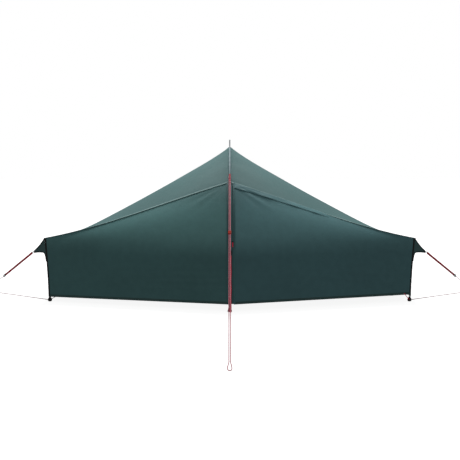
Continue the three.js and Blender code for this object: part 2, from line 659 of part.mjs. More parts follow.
for (const [side, sideX] of SIDES) {
  roof(side, sideX);
  endWall(side, sideX);
}
wall('front_wall_left', -1, -1);
wall('rear_wall_left', -1, 1);
wall('rear_wall_right', 1, 1);
wall('door_panel', 1, -1, DOOR_HEM_LIFT, DOOR_FROM, DOOR_TO);
hoop();
for (const [side, sideX] of SIDES) {
  for (const [face, sideY] of FACES) {
    corner(side, sideX, face, sideY);
    finRing(side, sideX, face, sideY);
  }
  endLines(side, sideX);
}
guyline();
for (const [face, sideY] of FACES) footStrap(face, sideY);
zip();
apexTab();
groundsheet();
innerCanopy();

export default tent;
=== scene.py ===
"""A one-person hoop tent, pitched: its looks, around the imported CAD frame.

Metres, +Z up, +X to the right along the tent, -Y the door side, origin on the ground under the hoop.
Every fabric panel follows the same formulas as its CAD solid.
"""

import math

import bpy
import bmesh
import numpy as np
from mathutils import Matrix, Vector


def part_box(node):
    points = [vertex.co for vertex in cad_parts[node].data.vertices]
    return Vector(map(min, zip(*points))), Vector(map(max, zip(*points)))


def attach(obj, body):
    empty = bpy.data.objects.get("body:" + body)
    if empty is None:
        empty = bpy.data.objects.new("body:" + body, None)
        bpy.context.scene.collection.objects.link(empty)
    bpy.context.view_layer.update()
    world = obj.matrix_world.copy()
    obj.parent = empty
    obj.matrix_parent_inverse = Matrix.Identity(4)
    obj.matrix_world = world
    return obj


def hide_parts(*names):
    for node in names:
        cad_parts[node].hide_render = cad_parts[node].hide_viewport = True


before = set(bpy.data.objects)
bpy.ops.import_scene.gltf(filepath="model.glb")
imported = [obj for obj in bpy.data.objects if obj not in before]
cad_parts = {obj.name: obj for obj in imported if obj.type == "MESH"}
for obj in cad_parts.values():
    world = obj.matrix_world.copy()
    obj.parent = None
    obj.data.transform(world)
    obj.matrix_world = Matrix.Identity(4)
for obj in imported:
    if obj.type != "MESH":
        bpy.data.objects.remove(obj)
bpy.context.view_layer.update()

# ---------------------------------------------------------------- dimensions of the fly

END_TOP_X = 1.147
END_FOOT_X = 1.1275
END_HALF_WIDTH = 0.400
CORNER_Z = 0.396
REAR_CORNER_Z = 0.358
HOOP_LEG = 0.227
HOOP_RADIUS = 0.733
FLY_RADIUS = 0.740
SEAM_Z = 0.745
SEAM_BOW = 0.025
SEAM_SAG = 0.020
RIDGE_END_Z = 0.338
RIDGE_SAG = 0.016
SHOULDER_Z = 0.330
HEM_HOOP_Z = 0.044
HEM_END_Z = 0.032
DOOR_HEM_LIFT = 0.014
SEAM_ANGLE = math.asin((SEAM_Z - HOOP_LEG) / FLY_RADIUS)
CLOTH_THICK = 0.0008
PANEL_START_X = 0.0075
WALL_START_X = 0.0040  # the walls run in to the sleeve
DOOR_START_X = 0.0262
WALL_DROP = 0.0006  # a wall's top edge below the roof's edge
DOOR_DROP = 0.0055
CLOSED_DROP = 0.0014  # the same, near the struts
END_HOLLOW = 1.6  # how hollow the upright edges at the ends are cut: 1 is straight
APEX_RISE = 0.012  # how far the cloth is pinched up at the sleeve
APEX_REACH = 0.055

STRUT_FOOT_X = 1.122
STRUT_TOP_X = 1.136
STRUT_Y = 0.386
FIN_REACH = 0.105
END_RING_X = 1.645
FIN_TIP_Z = 0.306
CORD_DIAMETER = 0.0036
STRAP_WIDTH = 0.0092
FIN_STRAP_WIDTH = 0.014
FIN_STRAP_LENGTH = 0.335
HEM_WIDTH = 0.016
SLEEVE_RADIUS = 0.0079
SLEEVE_BORE = 0.0069

GUY_ANGLE = 46.6
GUY_RING_OUT = 0.018
REAR_GUY_RING_OUT = 0.013
GUY_RING_RADIUS = 0.006
GUY_END_Y = -2.020
STRAND_APART = 0.007
LOOP_LENGTH = 0.050
LOOP_WIDTH = 0.018
KNOT_TURNS = 3.2
ROUND_STEPS = 40  # round a ring or a turned piece
SLIDER_ANGLE = 13.5  # on the hoop's arc
SLIDER_X = 0.017
BUCKLE_BARS = [  # low and high corners: across the strap, out from it, along it
    ((-0.0078, -0.0025, 0.0004), (-0.0060, 0.0025, 0.0224)),
    ((0.0060, -0.0025, 0.0004), (0.0078, 0.0025, 0.0224)),
    ((-0.0070, -0.0024, 0.0004), (0.0070, 0.0024, 0.0034)),
    ((-0.0070, -0.0018, 0.0094), (0.0070, 0.0014, 0.0124)),
    ((-0.0070, -0.0024, 0.0188), (0.0070, 0.0024, 0.0224)),
]
SLIDER_BARS = [  # across the zip, in towards the hoop, up the zip
    ((-0.004, 0.001, -0.0055), (0.004, 0.0024, 0.0055)),
    ((-0.0036, -0.0012, 0.001), (0.0036, 0.0012, 0.0072)),
    ((-0.001, -0.0022, -0.004), (0.001, -0.0008, 0.005)),
]
# Turned profiles as (radius, height).
STRUT_FOOT_PROFILE = [(0, 0), (0.006, 0), (0.0085, 0.0008), (0.0115, 0.0035), (0.0128, 0.0075),
                      (0.013, 0.011), (0.0122, 0.0155), (0.0100, 0.0192), (0.0078, 0.0222),
                      (0.0064, 0.026), (0.0060, 0.0286), (0, 0.029)]
HOOP_FOOT_PROFILE = [(0, 0), (0.0112, 0), (0.0122, 0.0008), (0.0129, 0.0028), (0.0126, 0.006),
                     (0.0104, 0.0115), (0.0092, 0.016), (0.0086, 0.021), (0.0082, 0.0252),
                     (0.0076, 0.0256), (0, 0.0256)]

INNER_RADIUS = 0.650
INNER_BASE_Z = 0.1004
INNER_ENDS = [(-0.165, 0.305), (-0.070, 0.300), (0.025, 0.298), (0.120, 0.298), (0.220, 0.301),
              (0.300, 0.303), (0.340, HOOP_LEG)]
TUB_PLAN = [(-1.075, -0.180), (1.075, -0.180), (1.075, 0.340), (0, INNER_RADIUS), (-1.075, 0.340)]
TUB_HEIGHTS = [(0.0, 0.94), (0.0, 0.985), (0.0, 0.9965), (0.0016, 0.9995), (0.006, 1.0), (0.02, 1.0),
               (0.05, 0.9995), (0.08, 0.9995), (0.1, 1.0)]  # height, and how much of the plan it is
TUB_THICK = 0.0012

SIDES = {"left": -1, "right": 1}
FACES = {"front": -1, "rear": 1}


# ---------------------------------------------------------------- small geometry

def lerp(a, b, t):
    return a + (b - a) * t


def unit(v):
    v = np.asarray(v, float)
    return v / np.maximum(np.linalg.norm(v, axis=-1, keepdims=True), 1e-12)


def tangents(path):
    path = np.asarray(path, float)
    return unit(np.gradient(path, axis=0))


def lengths(path):
    """How far along the path each of its points is."""
    steps = np.linalg.norm(np.diff(path, axis=0), axis=1)
    return np.concatenate([[0], np.cumsum(steps)])


def resample(path, out, step):
    """The path and its outward vectors at even steps."""
    along = lengths(path)
    at = np.linspace(0, along[-1], max(2, int(along[-1] / step) + 1))
    pick = lambda values: np.stack([np.interp(at, along, values[:, k]) for k in range(3)], axis=1)
    return pick(np.asarray(path, float)), unit(pick(np.asarray(out, float)))


def smooth_path(points, per_span=8):
    """A Catmull-Rom curve through the points."""
    p = np.asarray(points, float)
    p = np.vstack([2 * p[0] - p[1], p, 2 * p[-1] - p[-2]])
    made = []
    for a, b, c, d in zip(p, p[1:], p[2:], p[3:]):
        for t in np.arange(per_span) / per_span:
            made.append(0.5 * (2 * b + (c - a) * t + (2 * a - 5 * b + 4 * c - d) * t * t
                               + (3 * b - a - 3 * c + d) * t ** 3))
    made.append(p[-2])
    return np.array(made)


def on_arc(face, degrees, radius, x=0.0):
    """A point on an arc over the hoop's centre, degrees above the horizontal on the front or the rear."""
    angle = np.radians(degrees)
    y, z = face * radius * np.cos(angle), HOOP_LEG + radius * np.sin(angle)
    return np.stack([x + 0 * angle, y, z], axis=-1)


def arc_out(face, degrees):
    """The outward direction at such a point."""
    return on_arc(face, degrees, 1.0) - on_arc(face, degrees, 0.0)


# ---------------------------------------------------------------- meshes

def make(name, verts, faces, material, body="root", slot=None, stands_for=None, uvs=None, sharp=35):
    """A mesh piece that rides on a body, and may stand for a CAD node.

    uvs holds one (u, v) in metres for each vertex. slot is not used.
    """
    mesh = bpy.data.meshes.new(name)
    mesh.from_pydata([tuple(map(float, v)) for v in verts], [], [tuple(map(int, f)) for f in faces])
    if uvs is not None:
        layer = mesh.uv_layers.new(name="UVMap")
        index = np.empty(len(mesh.loops), int)
        mesh.loops.foreach_get("vertex_index", index)
        layer.data.foreach_set("uv", np.asarray(uvs, np.float32)[index].ravel())
    mesh.polygons.foreach_set("use_smooth", [True] * len(mesh.polygons))
    mesh.set_sharp_from_angle(angle=math.radians(sharp))
    mesh.materials.append(material)
    piece = bpy.data.objects.new(name, mesh)
    bpy.context.scene.collection.objects.link(piece)
    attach(piece, body)
    if stands_for:
        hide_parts(stands_for)
    return piece


def grid_faces(m, n, start=0, flip=False):
    faces = []
    for i in range(m - 1):
        for j in range(n - 1):
            a, b = start + i * n + j, start + (i + 1) * n + j
            quad = (a, b, b + 1, a + 1)
            faces.append(quad[::-1] if flip else quad)
    return faces


def cloth(name, points, out, material, **facts):
    """A closed thin sheet from a grid of points on its outside, whose outward side out points to."""
    m, n = points.shape[:2]
    inner = points - out * CLOTH_THICK
    verts = np.concatenate([points.reshape(-1, 3), inner.reshape(-1, 3)])
    size = m * n
    turn = np.cross(points[1, 0] - points[0, 0], points[0, 1] - points[0, 0])
    flip = float(np.dot(turn, out[0, 0])) < 0
    faces = grid_faces(m, n, 0, flip) + grid_faces(m, n, size, not flip)
    edge = [i * n for i in range(m)] + [(m - 1) * n + j for j in range(1, n)]
    edge += [i * n + n - 1 for i in range(m - 2, -1, -1)] + list(range(n - 2, 0, -1))
    for a, b in zip(edge, edge[1:] + edge[:1]):
        rim = (b, a, size + a, size + b)
        faces.append(rim[::-1] if flip else rim)
    u = np.zeros((m, n))
    v = np.zeros((m, n))
    u[1:] = np.cumsum(np.linalg.norm(np.diff(points, axis=0), axis=2), axis=0)
    v[:, 1:] = np.cumsum(np.linalg.norm(np.diff(points, axis=1), axis=2), axis=1)
    uvs = np.stack([u.ravel(), v.ravel()], axis=1)
    return make(name, verts, faces, material, uvs=np.concatenate([uvs, uvs]), **facts)


def sweep(name, path, out, profile, material, closed=False, **facts):
    """A solid swept along a path. profile is a loop of (across, outward) points."""
    path = np.asarray(path, float)
    forward = tangents(np.vstack([path[-2:-1], path, path[1:2]]))[1:-1] if closed else tangents(path)
    out = unit(np.broadcast_to(np.asarray(out, float), path.shape))
    across = unit(np.cross(forward, out))
    out = np.cross(across, forward)
    n, k = len(path), len(profile)
    verts = np.concatenate([
        path[i] + np.outer([p[0] for p in profile], across[i]) + np.outer([p[1] for p in profile], out[i])
        for i in range(n)
    ])
    around = np.concatenate([[0], np.cumsum([math.dist(a, b) for a, b in zip(profile, profile[1:])])])
    uvs = [(a, b) for a in lengths(path) for b in around]
    area = sum(a[0] * b[1] - b[0] * a[1] for a, b in zip(profile, profile[1:] + profile[:1]))
    faces = []
    for i in range(n if closed else n - 1):
        here, there = i * k, ((i + 1) % n) * k
        for j in range(k):
            q = (j + 1) % k
            quad = (here + j, there + j, there + q, here + q)
            faces.append(quad if area > 0 else quad[::-1])
    if not closed:
        first, last = tuple(range(k)), tuple(range((n - 1) * k, n * k))
        faces += [first, last[::-1]] if area > 0 else [first[::-1], last]
    return make(name, verts, faces, material, uvs=uvs, **facts)


def flat(width, thick, low=0.0):
    """The profile of a flat strip: bottom at low, edges rounded over."""
    w, top = width / 2, low + thick
    e = min(w * 0.5, thick)
    under, over = low + thick * 0.2, low + thick * 0.8
    return [(-w, under), (-w + e * 0.4, low), (w - e * 0.4, low), (w, under),
            (w - e * 0.25, over), (w - e, top), (-w + e, top), (-w + e * 0.25, over)]


def circle(radius, sides=10):
    angles = [2 * math.pi * i / sides for i in range(sides)]
    return [(radius * math.cos(a), radius * math.sin(a)) for a in angles]


def tube(name, path, radius, material, sides=10, **facts):
    """A round cord or bar along a path, its frame carried along so that it doesn't twist."""
    path = np.asarray(path, float)
    forward = tangents(path)
    out = np.zeros_like(path)
    seed = np.array([0, 0, 1.0]) if abs(forward[0][2]) < 0.8 else np.array([0, -1.0, 0])
    out[0] = unit(seed - forward[0] * np.dot(seed, forward[0]))
    for i in range(1, len(path)):
        out[i] = unit(out[i - 1] - forward[i] * np.dot(out[i - 1], forward[i]))
    return sweep(name, path, out, circle(radius, sides), material, **facts)


def ring(name, centre, axis, radius, wire, material, **facts):
    """A torus."""
    axis = unit(axis)
    first = unit(np.cross(axis, [0.3, 0.5, 0.81]))
    second = np.cross(axis, first)
    angle = np.linspace(0, 2 * math.pi, ROUND_STEPS, endpoint=False)[:, None]
    spoke = first * np.cos(angle) + second * np.sin(angle)
    return sweep(name, np.asarray(centre) + radius * spoke, spoke, circle(wire, 12), material, closed=True,
                 **facts)


def lathe(name, profile, centre, material, **facts):
    """An upright turned piece: profile holds (radius, height) from the axis back to the axis."""
    axis = np.array([0.0, 0, 1])
    first = unit(np.cross(axis, [0, 1, 0]))
    second = np.cross(axis, first)
    verts, uvs = [], []
    for i in range(ROUND_STEPS):
        a = 2 * math.pi * i / ROUND_STEPS
        spoke = first * math.cos(a) + second * math.sin(a)
        for r, h in profile[1:-1]:
            verts.append(np.asarray(centre) + spoke * r + axis * h)
            uvs.append((a * 0.012, h))
    k = len(profile) - 2
    faces = []
    for i in range(ROUND_STEPS):
        here, there = i * k, ((i + 1) % ROUND_STEPS) * k
        faces += [(here + j, there + j, there + j + 1, here + j + 1) for j in range(k - 1)]
    low, high = len(verts), len(verts) + 1
    verts += [np.asarray(centre) + axis * profile[0][1], np.asarray(centre) + axis * profile[-1][1]]
    uvs += [(0, 0), (0, 0)]
    for i in range(ROUND_STEPS):
        here, there = i * k, ((i + 1) % ROUND_STEPS) * k
        faces += [(low, there, here), (high, here + k - 1, there + k - 1)]
    return make(name, verts, faces, material, uvs=uvs, **facts)


def rounded(points, radius, steps=5):
    """A closed outline of (x, y) corners with each corner rounded."""
    made = []
    n = len(points)
    for i in range(n):
        p, a, b = (np.array(points[k % n], float) for k in (i, i - 1, i + 1))
        r = min(radius, 0.45 * np.linalg.norm(a - p), 0.45 * np.linalg.norm(b - p))
        start, end = p + unit(a - p) * r, p + unit(b - p) * r
        for t in np.linspace(0, 1, steps + 1):
            made.append(tuple((1 - t) ** 2 * start + 2 * t * (1 - t) * p + t * t * end))
    return made


def blocks(name, boxes, place, material, bevel=0.0005, **facts):
    """Bevelled bars joined in one piece. Each box is (low corner, high corner) in place's own axes."""
    mesh = bmesh.new()
    for low, high in boxes:
        low, high = Vector(low), Vector(high)
        made = bmesh.ops.create_cube(mesh, size=1.0)
        spread = Matrix.Diagonal((*(high - low), 1.0))
        bmesh.ops.transform(mesh, matrix=Matrix.Translation((low + high) / 2) @ spread, verts=made["verts"])
    bmesh.ops.bevel(mesh, geom=mesh.edges[:], offset=bevel, segments=3, profile=0.5, affect="EDGES")
    bmesh.ops.transform(mesh, matrix=place, verts=mesh.verts)
    bmesh.ops.recalc_face_normals(mesh, faces=mesh.faces)
    verts = [v.co.copy() for v in mesh.verts]
    faces = [[v.index for v in f.verts] for f in mesh.faces]
    mesh.free()
    uvs = [(v.x + v.y, v.z) for v in verts]
    return make(name, verts, faces, material, uvs=uvs, **facts)


def axes(origin, x, y, z):
    """The matrix that puts a piece made at the origin on these axes."""
    return Matrix(np.vstack([np.column_stack([unit(x), unit(y), unit(z), origin]), [0, 0, 0, 1]]).tolist())


def stitches(name, path, out, material, pitch=0.0045, long=0.003, radius=0.0003, across=False, **facts):
    """A row of stitches: small spindles along the path, or across it."""
    points, outward = resample(path, out, pitch)
    forward = tangents(points)
    if across:
        forward = np.cross(forward, outward)
    verts, faces = [], []
    for p, t, o in zip(points, forward, outward):
        s = unit(np.cross(t, o)) * radius
        o, t = o * radius, t * long / 2
        k = len(verts)
        verts += [p - t, p + s, p + o, p - s, p - o, p + t]
        for j in range(4):
            a, b = k + 1 + j, k + 1 + (j + 1) % 4
            faces += [(k, b, a), (k + 5, a, b)]
    return make(name, verts, faces, material, sharp=80, **facts)


def tacks(name, start, way, places, half, out, pitch, long, **facts):
    """Short rows of stitches across a strap, at places along way. half goes from its middle to its side."""
    for i, d in enumerate(places):
        centre = start + way * d
        stitches(f"{name}_{i + 1}", [centre - half, centre + half], np.array([out, out]), DARK_THREAD,
                 pitch=pitch, long=long, slot="webbing", **facts)


def wrap(name, start, way, side, radius, long, material, steps=50):
    """A knot: thin cord wound round a thicker one, from start along way, never under the ground."""
    up = np.cross(way, side)
    turns = np.linspace(0, KNOT_TURNS * 2 * math.pi, steps)[:, None]
    helix = start + way * long * turns / turns[-1] + (side * np.cos(turns) + up * np.sin(turns)) * radius
    helix[:, 2] += max(0.0, 0.0010 - helix[:, 2].min())
    return tube(name, helix, 0.0009, material, sides=8)


# ---------------------------------------------------------------- materials

def srgb(code):
    """The linear colour of a hex code."""
    parts = [int(code[i:i + 2], 16) / 255 for i in (0, 2, 4)]
    return tuple(c / 12.92 if c <= 0.04045 else ((c + 0.055) / 1.055) ** 2.4 for c in parts)


class Shader:
    """A node material round one Principled shader."""

    def __init__(self, name, color, roughness, metallic=0.0, **sockets):
        self.material = bpy.data.materials.new(name)
        self.material.use_nodes = True
        self.tree = self.material.node_tree
        self.shader = self.tree.nodes["Principled BSDF"]
        self.color = srgb(color)
        self.set("Base Color", (*self.color, 1))
        self.set("Roughness", roughness)
        self.set("Metallic", metallic)
        for key, value in sockets.items():
            self.set(key.replace("_", " ").title().replace("Ior", "IOR"), value)
        self.bumps = None

    def set(self, socket, value):
        self.shader.inputs[socket].default_value = value

    def add(self, kind, values=(), **facts):
        node = self.tree.nodes.new("ShaderNode" + kind)
        for key, value in facts.items():
            setattr(node, key, value)
        for key, value in dict(values).items():
            if isinstance(value, bpy.types.NodeSocket):
                self.tree.links.new(value, node.inputs[key])
            else:
                node.inputs[key].default_value = value
        return node

    def math(self, operation, a, b=0.0, c=0.0):
        return self.add("Math", {0: a, 1: b, 2: c}, operation=operation).outputs[0]

    def ramp(self, value, low, high, to_low=0.0, to_high=1.0):
        values = {"Value": value, "From Min": low, "From Max": high, "To Min": to_low, "To Max": to_high}
        return self.add("MapRange", values, interpolation_type="SMOOTHSTEP").outputs[0]

    def mix(self, factor, a, b):
        node = self.tree.nodes.new("ShaderNodeMix")
        node.data_type = "RGBA"
        for index, value in ((0, factor), (6, a), (7, b)):
            if isinstance(value, bpy.types.NodeSocket):
                self.tree.links.new(value, node.inputs[index])
            else:
                node.inputs[index].default_value = value if index == 0 else (*value, 1)
        return node.outputs[2]

    def uv(self):
        split = self.add("SeparateXYZ", {0: self.add("UVMap", uv_map="UVMap").outputs[0]})
        return split.outputs[0], split.outputs[1]

    def place(self):
        return self.add("TexCoord").outputs["Object"]

    def noise(self, scale, detail=3.0, roughness=0.5, vector=None):
        values = {"Vector": vector or self.place(), "Scale": scale, "Detail": detail, "Roughness": roughness}
        return self.add("TexNoise", values).outputs[0]

    def bump(self, height, distance, strength=1.0):
        values = {"Height": height, "Distance": distance, "Strength": strength}
        if self.bumps is not None:
            values["Normal"] = self.bumps
        self.bumps = self.add("Bump", values).outputs[0]
        self.tree.links.new(self.bumps, self.shader.inputs["Normal"])

    def paint(self, output, socket="Base Color"):
        self.tree.links.new(output, self.shader.inputs[socket])


def shade(color, factor):
    return tuple(min(1.0, c * factor) for c in color)


def ripstop(name, color, roughness=0.52, pitch=0.0055, painted_light_band=False):
    """Coated ripstop: a grid of thicker threads, a fine weave, soft crumple, and uneven colour.

    The flag marks the front walls, whose colour gets painted light: a paler band above the shoulder, fading
    towards the top and the ends, that stands for the light the leaning upper wall catches.
    """
    s = Shader(name, color, roughness, sheen_weight=0.06, sheen_roughness=0.45)
    u, v = s.uv()
    lines = []
    for axis in (u, v):
        saw = s.math("FRACT", s.math("MULTIPLY", axis, 1 / pitch))
        lines.append(s.ramp(s.math("ABSOLUTE", s.math("SUBTRACT", saw, 0.5)), 0.40, 0.5))
    threads = s.math("MAXIMUM", *lines)
    waves_of = (s.math("SINE", s.math("MULTIPLY", axis, 2 * math.pi / 0.0012)) for axis in (u, v))
    weave = s.math("MULTIPLY", *waves_of)
    cloud = s.noise(2.2, 2)
    mottle = s.noise(26, 3)
    tone = s.mix(s.ramp(cloud, 0.3, 0.7), shade(s.color, 0.94), shade(s.color, 1.06))
    # painted light: the front walls are painted paler above the shoulder, as if lit more there
    if painted_light_band:
        height = s.add("SeparateXYZ", {0: s.place()}).outputs[2]
        height = s.math("ADD", height, s.math("MULTIPLY", s.math("SUBTRACT", cloud, 0.5), 0.025))
        painted_band_mask = s.math("SUBTRACT", s.ramp(height, 0.295, 0.465), s.ramp(height, 0.53, 0.72, 0.0, 0.80))
        away = s.math("ABSOLUTE", s.add("SeparateXYZ", {0: s.place()}).outputs[0])
        painted_band_mask = s.math("MULTIPLY", painted_band_mask, s.ramp(away, 0.35, 0.85, 1.0, 0.62))
        r, g, b = s.color
        tone = s.mix(painted_band_mask, tone, (r * 2.1 + 0.014, g * 1.9 + 0.012, b * 1.85 + 0.012))
    tone = s.mix(s.ramp(mottle, 0.35, 0.65, 0.0, 0.06), tone, (0.0, 0.0, 0.0))
    tone = s.mix(s.math("MULTIPLY", threads, 0.09), tone, shade(s.color, 3.0))
    s.paint(tone)
    s.paint(s.ramp(mottle, 0.3, 0.7, roughness - 0.05, roughness + 0.06), "Roughness")
    s.bump(s.noise(9, 4, 0.55), 0.004, 0.35)
    s.bump(threads, 0.00012, 0.6)
    s.bump(weave, 0.00004, 0.4)
    return s.material


def webbing(name, color, ribs=0.0011, roughness=0.7, painted_glow=0.0):
    """Woven tape. Its emission is painted light: a glow that makes the tape read brighter than the lamps
    light it.
    """
    s = Shader(name, color, roughness, sheen_weight=0.25, sheen_roughness=0.4)
    u, v = s.uv()
    warp = s.math("SINE", s.math("MULTIPLY", u, 2 * math.pi / ribs))
    weft = s.math("SINE", s.math("MULTIPLY", v, 2 * math.pi / (ribs * 1.3)))
    cell = s.math("MULTIPLY", warp, weft)
    tone = s.mix(s.ramp(cell, -0.6, 0.6), shade(s.color, 0.78), shade(s.color, 1.15))
    tone = s.mix(s.ramp(s.noise(60, 3), 0.35, 0.7, 0.0, 0.18), tone, shade(s.color, 0.55))
    s.paint(tone)
    s.bump(cell, 0.00015, 0.7)
    if painted_glow:
        s.paint(tone, "Emission Color")
        s.set("Emission Strength", painted_glow)
    return s.material


def braid(name, color, tracer="d8d2cf", painted_glow=0.0):
    """A braided cord with a light reflective thread wound through it. Its emission is painted light: a glow
    that makes the cord read brighter than the lamps light it.
    """
    s = Shader(name, color, 0.6, sheen_weight=0.3, sheen_roughness=0.4)
    u, v = s.uv()
    turn = s.math("MULTIPLY", v, 1 / (math.pi * CORD_DIAMETER) * 2 * math.pi * 3)
    step = s.math("MULTIPLY", u, 2 * math.pi / 0.0042)
    left = s.math("SINE", s.math("ADD", step, turn))
    right = s.math("SINE", s.math("SUBTRACT", step, turn))
    plait = s.math("MAXIMUM", left, right)
    tone = s.mix(s.ramp(plait, -0.2, 1.0), shade(s.color, 0.55), shade(s.color, 1.12))
    slow = s.math("SINE", s.math("MULTIPLY", step, 0.25))
    fleck = s.math("MULTIPLY", s.ramp(left, 0.75, 0.95), s.ramp(slow, 0.5, 0.8))
    tone = s.mix(fleck, tone, srgb(tracer))
    s.paint(tone)
    s.paint(tone, "Emission Color")
    s.set("Emission Strength", painted_glow)
    s.bump(plait, 0.0003, 0.8)
    return s.material


def moulded(name, color, roughness=0.45, grain=900, **sockets):
    """Moulded plastic or rubber with a fine grain and slightly worn gloss."""
    s = Shader(name, color, roughness, 0.0, **sockets)
    speck = s.noise(grain, 3)
    wear = s.noise(45, 4, 0.6)
    s.paint(s.mix(s.ramp(wear, 0.45, 0.75, 0.0, 0.5), s.color, shade(s.color, 1.5)))
    s.paint(s.ramp(wear, 0.3, 0.7, roughness - 0.08, roughness + 0.12), "Roughness")
    s.bump(speck, 0.00008, 0.5)
    return s.material


def metal(name, color, roughness=0.3):
    """Drawn metal with faint lines along it."""
    s = Shader(name, color, roughness, 1.0)
    u, v = s.uv()
    stretched = s.add("CombineXYZ", {0: s.math("MULTIPLY", u, 12), 1: s.math("MULTIPLY", v, 1500), 2: 0.0})
    streak = s.noise(1.0, 3, 0.6, stretched.outputs[0])
    s.paint(s.mix(s.ramp(streak, 0.3, 0.7), shade(s.color, 0.86), shade(s.color, 1.1)))
    s.paint(s.ramp(streak, 0.3, 0.7, roughness - 0.07, roughness + 0.12), "Roughness")
    s.bump(streak, 0.00003, 0.4)
    return s.material


ROOF = ripstop("roof_ripstop", "4c7878")
WALL = ripstop("wall_ripstop", "477677", painted_light_band=True)
DOOR = ripstop("door_ripstop", "49767b", painted_light_band=True)
REAR = ripstop("rear_ripstop", "487676")
SLEEVE_GREY = ripstop("sleeve_grey", "6c888e", pitch=0.003, roughness=0.6)
SLEEVE_DARK = ripstop("sleeve_dark", "487173", pitch=0.003, roughness=0.6)
FIN = ripstop("fin_ripstop", "3c6262")
BINDING = webbing("black_binding", "14191a", 0.0009)
# The seam tape's pale colour is a painted highlight along the join of roof and wall.
SEAM_PAINTED_HIGHLIGHT = webbing("seam_tape", "8fb4b3", 0.0008, 0.6)
HEM = webbing("hem_tape", "3e5f5e", 0.0009)
THREAD = moulded("thread", "3f6060", 0.7)
DARK_THREAD = moulded("dark_thread", "1d2b2c", 0.7)
# The emission on these tapes and on the guy cord is painted light: they glow though they are no lamp.
RED_WEBBING = webbing("red_webbing", "d2203f", painted_glow=0.20)
DEEP_RED_WEBBING = webbing("deep_red_webbing", "b3142b", painted_glow=0.12)
GREY_WEBBING = webbing("grey_webbing", "c4c7c9", painted_glow=0.30)
TIE_GREY = webbing("grey_tie", "6c7072")
CORD = braid("guy_cord", "cc4e66", painted_glow=0.16)
RED_CORD = braid("end_cord", "a81f38", "c9808c")
ORANGE = moulded("runner_orange", "a82a16", 0.85, specular_ior_level=0.15)
RED = moulded("ring_red", "b01f38", 0.5)
PLASTIC = moulded("black_plastic", "15181a", 0.42)
RUBBER = moulded("rubber", "0c0e0f", 0.62, grain=400)
ALLOY = metal("pole_alloy", "a7abae", 0.32)
STEEL = metal("ring_steel", "7e8082", 0.34)
COIL = moulded("zip_coil", "44696c")
ZIP_TAPE = webbing("zip_tape_weave", "4f7f82", 0.0008)
INNER = ripstop("inner_cloth", "b9bfc2", pitch=0.004, roughness=0.7)
FLOOR_CLOTH = ripstop("floor_cloth", "33383b", pitch=0.006, roughness=0.5)


# ---------------------------------------------------------------- camera, light and floor

def studio():
    scene = bpy.context.scene
    scene.view_settings.view_transform = "Standard"
    camera = bpy.data.cameras.new("camera")
    camera.lens = 58.46
    camera.sensor_width = 36
    camera.shift_x = 0.0006
    holder = bpy.data.objects.new("camera", camera)
    holder.location = (0, -5.0, 0.815)
    holder.rotation_euler = (math.radians(90 - 4.57), 0, 0)
    scene.collection.objects.link(holder)
    scene.camera = holder

    world = bpy.data.worlds.new("studio")
    world.use_nodes = True
    nodes, links = world.node_tree.nodes, world.node_tree.links
    seen = nodes.new("ShaderNodeLightPath")
    bright = nodes.new("ShaderNodeMix")
    bright.inputs[2].default_value = 0.19
    bright.inputs[3].default_value = 1.0
    links.new(seen.outputs["Is Camera Ray"], bright.inputs[0])
    links.new(bright.outputs[0], nodes["Background"].inputs["Strength"])
    nodes["Background"].inputs["Color"].default_value = (1, 1, 1, 1)
    scene.world = world

    for name, place, target, size, energy in (
        ("top", (0, 2.0, 5.4), (0, 0.1, 0.4), 2.6, 300),
        ("front", (-1.5, -5.5, 3.4), (0, -0.4, 0.5), 3.0, 8),
    ):
        light = bpy.data.lights.new(name, "AREA")
        light.size = size
        light.energy = energy
        lamp = bpy.data.objects.new(name, light)
        lamp.location = place
        lamp.rotation_euler = (Vector(target) - Vector(place)).to_track_quat("-Z", "Y").to_euler()
        scene.collection.objects.link(lamp)

    plane = bpy.data.meshes.new("floor")
    far = 60.0
    plane.from_pydata([(-far, -far, 0), (far, -far, 0), (far, far, 0), (-far, far, 0)], [], [(0, 1, 2, 3)])
    pale = Shader("floor_pale", "b8b8b8", 0.9)
    away = pale.add("VectorMath", {0: pale.place()}, operation="LENGTH").outputs["Value"]
    pale.set("Emission Color", (1, 1, 1, 1))
    pale.paint(pale.ramp(away, 1.2, 5.0, 0.90, 1.0), "Emission Strength")
    plane.materials.append(pale.material)
    floor = bpy.data.objects.new("floor", plane)
    floor.location.z = -0.0005
    floor.visible_diffuse = False
    floor.visible_glossy = False
    scene.collection.objects.link(floor)


studio()


# ---------------------------------------------------------------- lines, first of all

